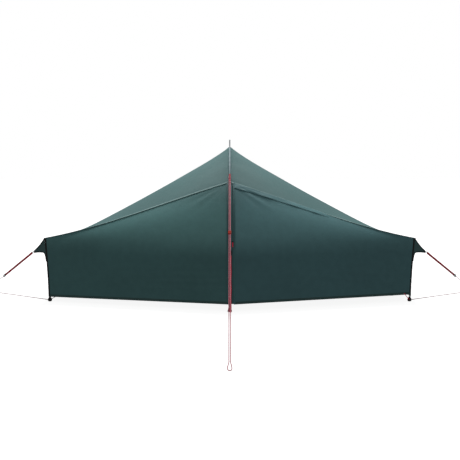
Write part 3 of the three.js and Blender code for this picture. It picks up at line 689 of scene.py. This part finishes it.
def guyline():
    """One cord, from the ring on the sleeve down, round its loop on the ground, and back up."""
    ring_at = on_arc(-1, GUY_ANGLE, HOOP_RADIUS + GUY_RING_OUT)
    end = np.array([0, GUY_END_Y, 0.003])
    along = unit(end - ring_at)
    length = float(np.linalg.norm(end - ring_at))
    at = lambda x, d: ring_at + along * d + np.array([x, 0, 0])
    start = GUY_RING_RADIUS + 0.003
    loop_start = length - LOOP_LENGTH
    beside, half = STRAND_APART / 2, LOOP_WIDTH / 2
    right = [(beside, loop_start - 0.02), (beside, loop_start), (half * 0.8, loop_start + 0.018),
             (half, length - 0.012), (half * 0.62, length - 0.0035)]
    left = [(-x, d) for x, d in right[::-1]]
    loop = smooth_path([at(x, d) for x, d in right + [(0, length - 0.001)] + left], 4)
    straight = np.linspace(start, loop_start - 0.06, 30)
    path = np.vstack([[at(beside, d) for d in straight], loop, [at(-beside, d) for d in straight[::-1]]])
    cord = tube("guyline_cord", path, CORD_DIAMETER / 2, CORD, stands_for="guyline")
    side = np.array([1.0, 0, 0])
    ring("guy_ring_front_loop", ring_at, np.cross(along, side), GUY_RING_RADIUS, 0.0021, RED,
         stands_for="guy_ring_front")
    wraps = [wrap(f"guyline_knot_{i + 1}", at(x, start + 0.001), along, side, 0.0026, 0.008, CORD, 60)
             for i, x in enumerate((beside, -beside))]
    tuple(at(beside, start))


def end_line_points(side):
    """The fin's ring and the end ring that its lines run to."""
    run = math.hypot(END_RING_X - END_TOP_X, END_HALF_WIDTH)
    share = (FIN_REACH + 0.009) / run
    tip = (side * lerp(END_TOP_X, END_RING_X, share), -END_HALF_WIDTH * (1 - share), FIN_TIP_Z - 0.003)
    return np.array(tip), np.array([side * END_RING_X, 0, 0.006])


def end_lines(name, side):
    """A strap from the fin to a buckle, a cord on to the end ring, and a second cord from the foot."""
    tip, ring_at = end_line_points(side)
    along = unit(ring_at - tip)
    out = unit(np.cross(along, [0, 0, 1])) * side
    flat_side = np.cross(out, along)
    strap_from, strap_to = tip + along * 0.009, tip + along * (0.009 + FIN_STRAP_LENGTH)
    line_from, line_to = strap_to + along * 0.0228, ring_at - along * 0.015
    foot = np.array([side * (STRUT_FOOT_X + 0.0145), -STRUT_Y + 0.002, 0.011])
    foot_to = np.array([side * (END_RING_X - 0.013), -0.004, 0.0024])

    for part, end, steps, profile, node in (
        ("webbing", strap_to, 30, flat(FIN_STRAP_WIDTH, 0.0014, -0.0007), f"fin_strap_{name}"),
        ("fold", strap_from + along * 0.028, 6, flat(FIN_STRAP_WIDTH, 0.0012, 0.0007), None),
    ):
        sweep(f"fin_strap_{name}_{part}", np.linspace(strap_from, end, steps), out, profile, DEEP_RED_WEBBING,
              stands_for=node)
    tacks(f"fin_strap_{name}_tack", strap_from + out * 0.0019, along, (0.005, 0.012, 0.019, 0.025),
          flat_side * 0.003, out, 0.0012, 0.0012)
    buckle = blocks(f"line_buckle_{name}_frame", BUCKLE_BARS, axes(strap_to, flat_side, out, along), PLASTIC,
                    stands_for=f"line_buckle_{name}")

    paths = {"fin": np.linspace(line_from, line_to, 20), "foot": np.linspace(foot, foot_to, 30)}
    for line, path in paths.items():
        node = f"{line}_line_{name}"
        tube(f"{node}_cord", path, CORD_DIAMETER / 2, RED_CORD, stands_for=node)
    end_ring = ring(f"end_ring_{name}_steel", (side * END_RING_X, 0, 0.0024), (0, 0, 1), 0.009, 0.0020, STEEL,
                    stands_for=f"end_ring_{name}")
    knots = []
    for i, (at, way) in enumerate(((line_to, along), (foot_to, unit(foot_to - foot)), (line_from, -along))):
        side_way = unit(np.cross(way, [0, 0, 1]))
        knots.append(wrap(f"line_knot_{name}_{i + 1}", at + way * 0.001, -way, side_way, 0.0023, 0.009,
                          RED_CORD))
    for line, far_end, others in (
        ("fin", "fitting", [buckle, end_ring, knots[0], knots[2]]),
        ("foot", "knot", [knots[1]]),
    ):
        path = paths[line]


guyline()
for side_name, side_sign in SIDES.items():
    end_lines(side_name, side_sign)


# ---------------------------------------------------------------- shape of the fly

def hoop_y(z, radius=FLY_RADIUS):
    up = np.clip((z - HOOP_LEG) / radius, 0, 1)
    return radius * np.sqrt(1 - up * up)


def seam_y(u):
    return lerp(hoop_y(SEAM_Z), END_HALF_WIDTH, u) - SEAM_BOW * 4 * u * (1 - u)


def corner_z(face):
    """The height of the roof's corners: the rear ones are lower."""
    return np.where(np.asarray(face) < 0, CORNER_Z, REAR_CORNER_Z)


def seam_z(u, face):
    return lerp(SEAM_Z, corner_z(face), u) - SEAM_SAG * 6.75 * u * u * (1 - u)


def end_x(z):
    """The outline of the ends: leaning, and cut a little hollow."""
    return lerp(END_FOOT_X, END_TOP_X, np.clip(z / CORNER_Z, 0, 1) ** END_HOLLOW)


def pinch(x):
    """How far the cloth beside the sleeve is drawn in under its own tension."""
    return APEX_RISE * (1 - np.exp(-np.maximum(x - PANEL_START_X, 0) / APEX_REACH))


def wall_point(u, v, face, lift=0.0, drop=WALL_DROP, start_x=PANEL_START_X):
    """A point of a wall, as at the front right: u from the hoop to the strut, v from the hem to the seam."""
    hem = lerp(HEM_HOOP_Z, HEM_END_Z, u) + lift * u
    low, high = np.minimum(v * 2, 1), np.maximum(v * 2 - 1, 0)
    shoulder = hoop_y(SHOULDER_Z)
    hoop_z = lerp(SHOULDER_Z, SEAM_Z, high)
    share = (shoulder - hoop_y(hoop_z)) / (shoulder - hoop_y(SEAM_Z))
    y_low = lerp(hoop_y(lerp(HEM_HOOP_Z, SHOULDER_Z, low)), END_HALF_WIDTH, u)
    y_high = lerp(lerp(shoulder, END_HALF_WIDTH, u), seam_y(u), share)
    top = seam_z(u, face) - lerp(drop, CLOSED_DROP, np.clip(u * 2, 0, 1))
    above = v > 0.5
    z = np.where(above, lerp(SHOULDER_Z, top, high), lerp(hem, SHOULDER_Z, low))
    y = np.where(above, y_high, y_low)
    return np.stack([lerp(start_x, end_x(z), u), -y, z], axis=-1)


def roof_point(u, w):
    """A point of the right roof: u from the hoop to the end, w from -1 at the front seam to 1 at the rear."""
    angle = np.pi / 2 + w * (np.pi / 2 - SEAM_ANGLE)
    hoop_z = HOOP_LEG + FLY_RADIUS * np.sin(angle)
    end_z = RIDGE_END_Z + (corner_z(w) - RIDGE_END_Z) * w * w
    sag = lerp(RIDGE_SAG * 4 * u * (1 - u), SEAM_SAG * 6.75 * u * u * (1 - u), w * w)
    bow = SEAM_BOW * 4 * u * (1 - u) * w * w * np.sign(w)
    y = lerp(-FLY_RADIUS * np.cos(angle), END_HALF_WIDTH * w, u) - bow
    x = lerp(PANEL_START_X, END_TOP_X, u) + 0 * w
    cusp = (pinch(x) - APEX_RISE * u) * (1 - w * w)
    return np.stack([x, y, lerp(hoop_z, end_z, u) - sag - cusp], axis=-1)


def outward(points):
    """Unit normals of a grid of points, away from the middle of the tent."""
    normal = unit(np.cross(np.gradient(points, axis=0), np.gradient(points, axis=1)))
    middle = points - np.array([0, 0, 0.15])
    return normal * np.sign((normal * middle).sum(-1, keepdims=True))


def hill(value, centre, width):
    return np.exp(-(((value - centre) / width) ** 2))


def waves(points, seed, scale, amount):
    """Smooth random swells: a few sine waves in random directions."""
    chance = np.random.default_rng(seed)
    total = np.zeros(points.shape[:-1])
    for _ in range(7):
        way = unit(chance.normal(size=3)) * 2 * math.pi / (scale * chance.uniform(0.7, 1.6))
        total += np.sin(points @ way + chance.uniform(0, 6.28)) / 7
    return total * amount


def wall_folds(points, v, seed, strong):
    """Tension folds: fanned from the top of the hoop and from the strut, and long low waves above the hem."""
    x, z = points[..., 0], points[..., 2]
    reach = np.hypot(x, SEAM_Z - z)
    fall = np.degrees(np.arctan2(SEAM_Z - z, np.maximum(x, 1e-4)))
    fan = sum(amount * hill(fall, angle, 0.8 + 0.05 * angle)
              for angle, amount in ((22.5, 1.0), (27.5, -0.8), (33, 0.7), (41, -0.35)))
    folds = strong * 0.0045 * fan * hill(reach, 0.15, 0.11) * np.clip(reach / 0.05, 0, 1)
    corner = np.hypot(x - END_TOP_X, z - CORNER_Z)
    rise = np.degrees(np.arctan2(CORNER_Z - z, np.maximum(END_TOP_X - x, 1e-4)))
    star = sum(amount * hill(rise, angle, 3.5)
               for angle, amount in ((12, 1.0), (24, -0.7), (40, 0.8), (58, -0.5)))
    folds = folds + 0.0016 * star * hill(corner, 0.09, 0.09)
    low = 0.0032 * np.sin((z + 0.07 * x) * 2 * math.pi / 0.042 + 2.2 * np.sin(2.3 * x + seed))
    folds = folds + low * hill(z, 0.165, 0.06) * hill(x, 0.25 + 0.25 * (seed % 3), 0.28)
    foot = 0.0015 * np.sin((z - 0.10 * x) * 2 * math.pi / 0.035)
    folds = folds + foot * hill(z, 0.10, 0.06) * hill(x, 1.02, 0.12)
    return (folds + waves(points, seed, 0.35, 0.0016)) * np.sin(math.pi * np.clip(v, 0.0, 1.0)) ** 0.35


def quarter(points, side, face):
    """Turns the pattern for the front right of the tent into any of its four quarters."""
    return points * np.array([side, -face, 1.0])


# ---------------------------------------------------------------- fly panels, seams and hems

def grid(m, n):
    return np.meshgrid(np.linspace(0, 1, m + 1), np.linspace(0, 1, n + 1), indexing="ij")


def roof(name, side):
    u, s = grid(110, 96)
    w = 2 * s - 1
    base = roof_point(u, w)
    out = outward(base)
    seed = 11 if side < 0 else 23
    swell = waves(base, seed, 0.45, 0.0022) * np.sin(math.pi * u) ** 0.5 * (1 - w ** 4)
    ribs = 0.0012 * np.sin(w * 21 + 3 * u + seed) * hill(u, 0.04, 0.10) * (1 - w ** 4)
    points = quarter(base + out * (swell + ribs)[..., None], side, -1)
    out = quarter(out, side, -1)
    top = cloth(f"roof_{name}_cloth", points, out, ROOF, stands_for=f"roof_{name}")
    for face_name, edge, inner in (("front", 0, 1), ("rear", -1, -2)):
        path, normal = points[:, edge], out[:, edge]
        down = unit(path - points[:, inner])
        # the seam tape, painted pale as a highlight
        sweep(f"roof_seam_{face_name}_{name}", path + down * 0.0015 + normal * 0.0002, normal,
                            flat(0.011, 0.0016, -0.0006), SEAM_PAINTED_HIGHLIGHT)
        for i, back in enumerate((0.0015, -0.0045)):
            row = path - down * back + normal * 0.0012
            stitches(f"roof_stitch_{face_name}_{name}_{i + 1}", row, normal, THREAD,
                                   slot="roof")
    sweep(f"roof_end_binding_{name}", points[-1], out[-1], flat(0.009, 0.0024, -0.0016),
                        BINDING)


def hem(name, points, out, body):
    """The folded hem along a panel's lower edge, with its two rows of stitches."""
    path, normal = points[:, 0], out[:, 0]
    up = unit(points[:, 1] - points[:, 0])
    pieces = [sweep(f"{name}_hem", path + up * (HEM_WIDTH / 2 - 0.001), normal,
                    flat(HEM_WIDTH, 0.0020, -0.0012), HEM, body=body)]
    for i, high in enumerate((0.003, HEM_WIDTH - 0.004)):
        pieces.append(stitches(f"{name}_hem_stitch_{i + 1}", path + up * high + normal * 0.0010, normal,
                               DARK_THREAD, body=body, slot="wall"))
    return pieces


def wall(name, node, side, face, material, body="root", lift=0.0, drop=WALL_DROP, start_x=WALL_START_X,
         strong=0.6):
    u, v = grid(120, 84)
    u = u * 0.9985
    base = wall_point(u, v, face, lift, drop, start_x)
    out = outward(base)
    seed = {(-1, -1): 3, (1, -1): 5, (-1, 1): 7, (1, 1): 8}[(side, face)]
    points = quarter(base + out * wall_folds(base, v, seed, strong)[..., None], side, face)
    out = quarter(out, side, face)
    panel = cloth(f"{name}_cloth", points, out, material, body=body, stands_for=node)
    extras = hem(name, points, out, body)
    path, normal = points[-1], out[-1]
    inward = unit(points[-2] - points[-1])
    extras.append(sweep(f"{name}_corner_binding", path + inward * 0.005, normal, flat(0.012, 0.0020, -0.0012),
                        BINDING, body=body))
    extras.append(stitches(f"{name}_corner_stitch", path + inward * 0.009 + normal * 0.0009, normal,
                           DARK_THREAD, body=body, slot="wall"))
    return points, out


def end_wall(name, side):
    s, v = grid(70, 44)
    share = 2 * s - 1
    top = RIDGE_END_Z + (corner_z(share) - RIDGE_END_Z) * share * share - 0.0035
    z = lerp(HEM_END_Z, top, v)
    x = end_x(z) - 0.0008 + 0 * share
    base = np.stack([x, (END_HALF_WIDTH - 0.0035) * share, z], axis=-1)
    out = outward(base)
    swell = waves(base, 31 if side < 0 else 37, 0.3, 0.0024)
    swell = swell * np.sin(math.pi * s) * np.sin(math.pi * v) ** 0.4
    below, beside = corner_z(share) - z, END_HALF_WIDTH - np.abs(base[..., 1])
    star = 0.0015 * np.sin(np.degrees(np.arctan2(below, beside + 1e-3)) / 7.0)
    swell = swell + star * hill(np.hypot(below, beside), 0.10, 0.09)
    points = quarter(base - out * np.abs(swell)[..., None], side, -1)
    out = quarter(out, side, -1)
    panel = cloth(f"end_wall_{name}_cloth", points, out, REAR, stands_for=f"end_wall_{name}")
    extras = hem(f"end_wall_{name}", points, out, "root")


def storm_flap(points, out):
    """The strip of doubled cloth along the door's top edge, over the upper end of its zip."""
    reach, rows = 62, 8
    strip, normals = np.empty((reach + 1, rows + 1, 3)), np.empty((reach + 1, rows + 1, 3))
    for i in range(reach + 1):
        u, n = i / reach, out[i, -2]
        down = points[i, ::-1]
        along = lengths(down)
        for j in range(rows + 1):
            t = j / rows
            depth = lerp(0.040, 0.024, u) * t + 0.001
            ruffle = 0.0012 * t * math.sin(u * 23) * math.sin(math.pi * u) ** 0.5
            lift = (0.0012 + 0.0020 * t + ruffle) * min(1.0, 6 * (1 - u) + 0.15)
            strip[i, j] = [np.interp(depth, along, down[:, k]) for k in range(3)] + n * lift
            normals[i, j] = n
    flap = cloth("door_storm_flap", strip, normals, DOOR, body="door")
    row = stitches("door_storm_flap_stitch", strip[:, -2] + normals[:, -2] * 0.0003, normals[:, -2], THREAD,
                   body="door", slot="wall")


for side_name, side_sign in SIDES.items():
    roof(side_name, side_sign)
    end_wall(side_name, side_sign)
wall("front_wall_left", "front_wall_left", -1, -1, WALL)
wall("rear_wall_left", "rear_wall_left", -1, 1, REAR)
wall("rear_wall_right", "rear_wall_right", 1, 1, REAR)
door_points, door_out = wall("door", "door_panel", 1, -1, DOOR, body="door", lift=DOOR_HEM_LIFT,
                             drop=DOOR_DROP, start_x=DOOR_START_X, strong=1.0)
storm_flap(door_points, door_out)


# ---------------------------------------------------------------- the hoop's sleeve, zip and straps

def hoop_path(radius, low, high):
    """The hoop's line from height low on the front, over the top, to height high on the rear."""
    arc = math.pi * radius
    total = 2 * HOOP_LEG + arc
    at = np.linspace(low, total - high, int((total - high - low) / 0.012))
    angle = np.clip((at - HOOP_LEG) / radius, 0, math.pi)
    out = np.stack([0 * angle, -np.cos(angle), np.sin(angle)], axis=-1)
    height = np.minimum(np.minimum(at, total - at), HOOP_LEG)
    out[angle >= math.pi] = (0, 1, 0)
    return out * radius + np.stack([0 * at, 0 * at, height], axis=-1), out


def sleeve():
    path, out = hoop_path(HOOP_RADIUS, 0.030, 0.030)
    bend = path[:, 2] > SEAM_Z
    first, last = np.argmax(bend), len(bend) - np.argmax(bend[::-1])
    outer, inner = np.radians(np.arange(-160, 161, 20)), np.radians(np.arange(160, -161, -20))
    profile = [(SLEEVE_RADIUS * math.sin(a), SLEEVE_RADIUS * math.cos(a)) for a in outer]
    profile += [(SLEEVE_BORE * math.sin(a), SLEEVE_BORE * math.cos(a)) for a in inner]
    parts = {"front": slice(0, first + 1), "top": slice(first, last), "rear": slice(last - 1, None)}
    for name, part in parts.items():
        top = name == "top"
        sweep(f"sleeve_{name}", path[part], out[part], profile, SLEEVE_GREY if top else SLEEVE_DARK,
              stands_for="hoop_sleeve" if top else None)
    for side_name, side in SIDES.items():
        share, s = grid(3, 96)
        base = roof_point(share * 0.0095, 2 * s - 1)
        way = outward(base)
        base, way = quarter(base + way * 0.0006, side, -1), quarter(way, side, -1)
        cloth(f"sleeve_flange_top_{side_name}", base, way, ROOF)
        for i in (1, 2):
            stitches(f"sleeve_stitch_top_{side_name}_{i}", base[i] + way[i] * 0.0003, way[i], THREAD,
                     slot="roof")
    for name, side_name in (("front", "left"), ("rear", "left"), ("rear", "right")):
        line, way = path[parts[name]], out[parts[name]]
        keep = line[:, 2] > HEM_HOOP_Z + 0.001
        line, way = line[keep], way[keep]
        beside = lambda x, lift: line + way * (FLY_RADIUS - HOOP_RADIUS + lift) + [SIDES[side_name] * x, 0, 0]
        sweep(f"sleeve_flange_{name}_{side_name}", beside(0.0125, 0.0001), way, flat(0.011, 0.0009, -0.0002),
              SLEEVE_DARK)
        for i, x in enumerate((0.0095, 0.0155)):
            stitches(f"sleeve_stitch_{name}_{side_name}_{i + 1}", beside(x, 0.0009), way, THREAD,
                     slot="sleeve")


def zip_parts():
    """The door's zip: tape and coil beside the hoop, the door's taped edge, a slider and its pull."""
    path, out = hoop_path(FLY_RADIUS - 0.0005, 0.046, 1.6)
    keep = path[:, 2] < SEAM_Z - 0.003
    path, out = path[keep], out[keep]
    shift = lambda x, lift=0.0: path + np.array([x, 0, 0]) + out * lift
    sweep("zip_tape_hoop", shift(0.0140), out, flat(0.020, 0.0008, -0.0006), ZIP_TAPE, stands_for="zip_tape")
    for i, x in enumerate((0.0161, 0.0181)):
        stitches(f"zip_coil_{i + 1}", shift(x, 0.0006), out, COIL, pitch=0.0019, long=0.0030, radius=0.0007,
                 across=True)
    tube("zip_coil_core", shift(0.0171, 0.0004), 0.0007, COIL, sides=8)
    stitches("zip_tape_stitch", shift(0.0118, 0.0004), out, DARK_THREAD, slot="zip")
    edge, normal = door_points[0], door_out[0]
    sweep("door_edge_binding", edge + [0.002, 0, 0], normal, flat(0.010, 0.0020, -0.0012), ZIP_TAPE,
          body="door")
    stitches("door_edge_stitch", edge + [0.0045, 0, 0] + normal * 0.0010, normal, DARK_THREAD, body="door",
             slot="zip")

    n = arc_out(-1, SLIDER_ANGLE)
    up = np.array([0, n[2], -n[1]])
    at = on_arc(-1, SLIDER_ANGLE, FLY_RADIUS + 0.0034, SLIDER_X)
    blocks("zip_slider_body", SLIDER_BARS, axes(at, [1, 0, 0], -n, up), PLASTIC, bevel=0.0003, body="slider",
           stands_for="zip_slider")
    hang = on_arc(-1, SLIDER_ANGLE, FLY_RADIUS + 0.0074, SLIDER_X)
    tape = [hang - up * d for d in np.linspace(-0.0004, 0.026, 12)]
    sweep("zip_pull_tape", tape, n, flat(0.006, 0.0016, -0.0008), RED_WEBBING, body="pull",
          stands_for="zip_pull")
    tacks("zip_pull_tack", hang + n * 0.0009, -up, (0.006, 0.010, 0.020), np.array([0.002, 0, 0]), n, 0.001,
          0.0011, body="pull")


def guy_loops():
    """The webbing tabs that hold the guy rings, and the rear ring."""
    for face_name, face in FACES.items():
        if face > 0:
            centre = on_arc(face, GUY_ANGLE, HOOP_RADIUS + REAR_GUY_RING_OUT)
            ring("guy_ring_rear_loop", centre, arc_out(face, GUY_ANGLE), GUY_RING_RADIUS, 0.0020, RED,
                 stands_for="guy_ring_rear")
        degrees = np.linspace(GUY_ANGLE - 1.6, GUY_ANGLE + 3.2, 9)
        sweep(f"guy_tab_{face_name}", on_arc(face, degrees, HOOP_RADIUS + 0.0088), arc_out(face, degrees),
              flat(0.010, 0.0012, -0.0006), DEEP_RED_WEBBING)


def foot_straps():
    """The adjusting straps at the hoop's feet, out of their buckles and on to a loose tail on the ground."""
    radius = HOOP_RADIUS + 0.0095
    for face_name, face in FACES.items():
        line = [(hoop_y(z, radius), z) for z in (0.326, 0.29, 0.255, HOOP_LEG, 0.17, 0.12, 0.08, 0.046)]
        line += [(radius + 0.003, 0.022), (radius + 0.009, 0.006), (radius + 0.020, 0.0018)]
        path = smooth_path([(0.005, face * float(y), z) for y, z in line], 6)
        turn = np.cross(tangents(path), [1, 0, 0])
        turn = turn * np.sign((turn * np.array([0, face, 0.4])).sum(-1, keepdims=True))
        sway = np.array([[0.0009 * math.sin(z * 60), 0, 0] for z in path[:, 2]])
        sweep(f"foot_strap_{face_name}_webbing", path + sway, turn, flat(STRAP_WIDTH, 0.0014, -0.0007),
              RED_WEBBING, stands_for=f"foot_strap_{face_name}")


def apex_tab():
    """The folded grey webbing that stands up from the top of the hoop."""
    low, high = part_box("apex_tab")
    base, top = low.z - 0.0015, high.z - 0.0012
    fold = top - 0.003
    up = [(-0.0008, base), (-0.0009, lerp(base, top, 0.5)), (-0.0011, fold)]
    down = [(-y, z) for y, z in up[::-1]]
    path = smooth_path([(0, y, z) for y, z in up + [(0, top)] + down], 8)
    middle = np.array([0, 0, fold])
    leaf = (np.abs(path[:, 1]) > 0.0004) & (path[:, 2] < fold)
    out = np.where(leaf[:, None], np.sign(path[:, 1:2]) * [0, 1, 0], unit(path - middle))
    sweep("apex_tab_webbing", path, out, flat(0.009, 0.0010, -0.0005), GREY_WEBBING, stands_for="apex_tab")
    degrees = np.linspace(86.5, 93.5, 9)
    sweep("apex_patch", on_arc(-1, degrees, HOOP_RADIUS + 0.0085), arc_out(-1, degrees),
          flat(0.013, 0.0010, -0.0004), GREY_WEBBING)


sleeve()
zip_parts()
guy_loops()
foot_straps()
apex_tab()


# ---------------------------------------------------------------- corners and feet

def fin_axes(side, face):
    """The direction a fin runs out from its corner, and its sideways direction."""
    away = unit(np.array([side * (END_RING_X - END_TOP_X), -face * END_HALF_WIDTH, 0]))
    return away, unit(np.cross(away, [0, 0, 1]))


def fin(name, side, face):
    away, across = fin_axes(side, face)
    corner = np.array([side * END_TOP_X, face * END_HALF_WIDTH, 0])
    drop = CORNER_Z - corner_z(face)
    s, t = grid(36, 16)
    upper = lerp(0.3935, 0.3085, s) - 0.004 * np.sin(math.pi * s)
    lower = lerp(0.3075, 0.3005, s) - 0.055 * np.exp(-s / 0.045) + 0.003 * np.sin(math.pi * s)
    z = lerp(lower, upper, t) - drop
    near = np.stack([side * (end_x(z) - 0.0005), 0 * z + face * (END_HALF_WIDTH - 0.0010), z], axis=-1)
    tip = corner + away * FIN_REACH
    far = np.stack([0 * z + tip[0], 0 * z + tip[1], z], axis=-1)
    points = lerp(near, far, s[..., None])
    points = points + across * (0.0012 * np.sin(s * 5) * np.sin(math.pi * t))[..., None]
    out = np.broadcast_to(across, points.shape)
    web = cloth(f"fin_{name}_cloth", points, out, FIN, stands_for=f"fin_{name}")
    pieces = [sweep(f"fin_{name}_{edge_name}_binding", points[:, edge] - across * 0.0004, across,
                    flat(0.0065, 0.0030, -0.0015), BINDING)
              for edge_name, edge in (("upper", -1), ("lower", 0))]
    tip = tip + np.array([0, 0, 0.3045 - drop])
    past = tip + away * 0.002 - np.array([0, 0, 0.002])
    hold = smooth_path([tip - away * 0.016, tip - away * 0.004, past], 5)
    pieces.append(sweep(f"fin_{name}_tab", hold, across, flat(0.008, 0.0034, -0.0017), BINDING))

    low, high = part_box(f"fin_ring_{name}")
    centre = (np.array(low) + np.array(high)) / 2
    if face < 0:
        tip_at, ring_at = end_line_points(side)
        axis = np.cross(unit(ring_at - tip_at), np.cross(away, [0, 0, 1]))
        body = "root"
    else:
        axis, body = away, f"rear_ring_{'left' if side < 0 else 'right'}"
    ring(f"fin_ring_{name}_steel", centre, axis, 0.007, 0.0014, STEEL, body=body,
         stands_for=f"fin_ring_{name}")


def strut(name, side, face):
    foot = np.array([side * STRUT_FOOT_X, face * STRUT_Y, 0])
    top_z = corner_z(face) - 0.016
    top = np.array([side * lerp(STRUT_FOOT_X, STRUT_TOP_X, top_z / CORNER_Z), face * STRUT_Y, top_z])
    low = lerp(foot, top, 0.0294 / top_z)
    tube(f"corner_strut_{name}_tube", np.linspace(low, top, 8), 0.004, ALLOY, sides=20,
         stands_for=f"corner_strut_{name}")
    lathe(f"strut_foot_{name}_ball", STRUT_FOOT_PROFILE, foot, RUBBER, stands_for=f"strut_foot_{name}")
    at_door = (side, face) == (1, -1)
    hem_z = HEM_END_Z + (DOOR_HEM_LIFT if at_door else 0) + 0.006
    start = foot + np.array([-side * 0.006, face * 0.0135, 0.016])
    end_x_by = END_FOOT_X - 0.058 + (0.012 if at_door else 0)
    end = np.array([side * end_x_by, face * (END_HALF_WIDTH + 0.016), hem_z + 0.003])
    middle = lerp(start, end, 0.5) + np.array([0, face * 0.002, -0.002])
    tube(f"hem_tie_{name}", smooth_path([start, middle, end], 6), 0.0018,
         RED_WEBBING if side > 0 else TIE_GREY, sides=8)


def hoop_foot(name, face):
    lathe(f"hoop_foot_{name}_cup", HOOP_FOOT_PROFILE, (0, face * HOOP_RADIUS, 0), RUBBER,
          stands_for=f"hoop_foot_{name}")


for side_name, side_sign in SIDES.items():
    for face_name, face_sign in FACES.items():
        fin(f"{face_name}_{side_name}", side_sign, face_sign)
        strut(f"{face_name}_{side_name}", side_sign, face_sign)
for face_name, face_sign in FACES.items():
    hoop_foot(face_name, face_sign)


# ---------------------------------------------------------------- inner tent

def groundsheet():
    """A tub floor with taped walls, its corners rounded."""
    outline = np.array(rounded(TUB_PLAN, 0.020, 6))
    centre = np.array([0, 0.12])
    spokes = outline - centre
    n, rows = len(outline), len(TUB_HEIGHTS)
    around = lengths(outline)
    verts, uvs = [], []
    for inset in (0.0, TUB_THICK):
        for z, grow in TUB_HEIGHTS:
            level = z if z > 0.09 else z + inset
            verts += [(*(centre + p * grow - unit(p) * (inset if z > 0 else 0.0)), level) for p in spokes]
            uvs += [(a, z) for a in around]
    inside = rows * n
    faces = []
    for i in range(rows - 1):
        for k in range(n):
            a, b = i * n + k, i * n + (k + 1) % n
            c, d = inside + a, inside + b
            faces += [(a, b, b + n, a + n), (c, c + n, d + n, d)]
    for k in range(n):
        a, b = inside - n + k, inside - n + (k + 1) % n
        faces.append((a, b, inside + b, inside + a))
    faces += [tuple(range(n))[::-1], tuple(range(inside, inside + n))]
    tub = make("groundsheet_tub", verts, faces, FLOOR_CLOTH, uvs=uvs, stands_for="groundsheet")
    loop = np.concatenate([outline, np.full((n, 1), 0.0985)], axis=1)
    away = unit(np.concatenate([spokes, np.zeros((n, 1))], axis=1))
    band = sweep("groundsheet_seam_tape", loop - away * 0.0004, away, flat(0.008, 0.0016, -0.0008), BINDING,
                 closed=True, slot="floor")


def inner_section(x, u, around):
    """One cross-section of the inner tent: around runs from the front base, over the top, to the rear."""
    hoop_line = [tuple(on_arc(1, a, INNER_RADIUS)[1:]) for a in range(90, -1, -15)]
    front, rear = (-0.18, INNER_BASE_Z), (INNER_RADIUS, INNER_BASE_Z)
    over_hoop = np.array([front, *hoop_line, rear])
    at_end = np.array([front, *INNER_ENDS, (0.340, INNER_BASE_Z)])
    line = lerp(over_hoop, at_end, u)
    knots = np.array([0, 0.34, 0.42, 0.50, 0.58, 0.66, 0.74, 0.84, 1.0])
    y, z = (np.interp(around, knots, line[:, k]) for k in (0, 1))
    return np.stack([np.full_like(y, x), y, z], axis=-1)


def inner_canopy():
    """The inner tent's walls and roof, with its doorway cut in the front."""
    around = np.linspace(0, 1, 101)
    stations = np.linspace(-1, 1, 129)
    points = np.array([inner_section(1.0745 * s, abs(s), around) for s in stations])
    out = outward(points)
    sag = 0.006 * np.abs(np.sin(math.pi * np.abs(stations)))[:, None] * np.sin(math.pi * around)[None, :] ** 2
    points = points - out * (sag + 0.0006)[..., None]
    m, n = points.shape[:2]
    x, z = points[..., 0], points[..., 2]
    doorway = np.where(z < 0.33, 0.43, lerp(0.43, 0.20, np.clip((z - 0.33) / 0.23, 0, 1)))
    cut = (np.abs(x) < doorway) & (z > 0.150) & (z < 0.560) & (points[..., 1] < -0.005)
    thick = 0.0010
    verts = np.concatenate([points.reshape(-1, 3), (points - out * thick).reshape(-1, 3)])
    size = m * n
    faces = []
    open_edges = {}
    for i in range(m - 1):
        for j in range(n - 1):
            corners = [(i, j), (i + 1, j), (i + 1, j + 1), (i, j + 1)]
            if all(cut[c] for c in corners):
                continue
            quad = [c[0] * n + c[1] for c in corners]
            faces += [tuple(quad[::-1]), tuple(q + size for q in quad)]
            for a, b in zip(quad, quad[1:] + quad[:1]):
                if open_edges.pop((b, a), None) is None:
                    open_edges[(a, b)] = True
    faces += [(b, a, a + size, b + size)[::-1] for a, b in open_edges]
    for s, i in ((-1, 0), (1, m - 1)):
        ends = points[i]
        k = len(verts)
        middle = np.array([[ends[0][0], 0.04, INNER_BASE_Z]])
        inset = np.array([s * thick, 0, 0])
        verts = np.concatenate([verts, ends, ends - inset, middle, middle - inset])
        hub = k + 2 * n
        for j in range(n - 1):
            a, b = k + j, k + j + 1
            trio = [(a, b, hub), (b + n, a + n, hub + 1), (a, a + n, b + n, b)]
            faces += trio if s > 0 else [face[::-1] for face in trio]
        for quad in ((k, hub, hub + 1, k + n), (hub, k + n - 1, k + 2 * n - 1, hub + 1)):
            faces.append(quad[::-1] if s > 0 else quad)
    uvs = [(p[0], p[1] + p[2]) for p in verts]
    canopy = make("inner_canopy_cloth", verts, faces, INNER, uvs=uvs, stands_for="inner_canopy")


groundsheet()
inner_canopy()


# ---------------------------------------------------------------- CAD pieces that show as they are

def finish_nodes():
    """Materials and softened edges for the CAD nodes that stay."""
    looks = {"guyline_runner": (ORANGE, 0.0012), "foot_buckle_front": (PLASTIC, 0.0004),
             "foot_buckle_rear": (PLASTIC, 0.0004)}
    looks.update({f"pole_section_{i}": (ALLOY, 0) for i in range(1, 8)})
    for name, (material, bevel) in looks.items():
        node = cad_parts[name]
        for place in node.material_slots:
            place.material = material
        if bevel:
            soften = node.modifiers.new("edges", "BEVEL")
            soften.width = bevel
            soften.segments = 3
            soften.limit_method = "ANGLE"
            soften.angle_limit = math.radians(50)


finish_nodes()
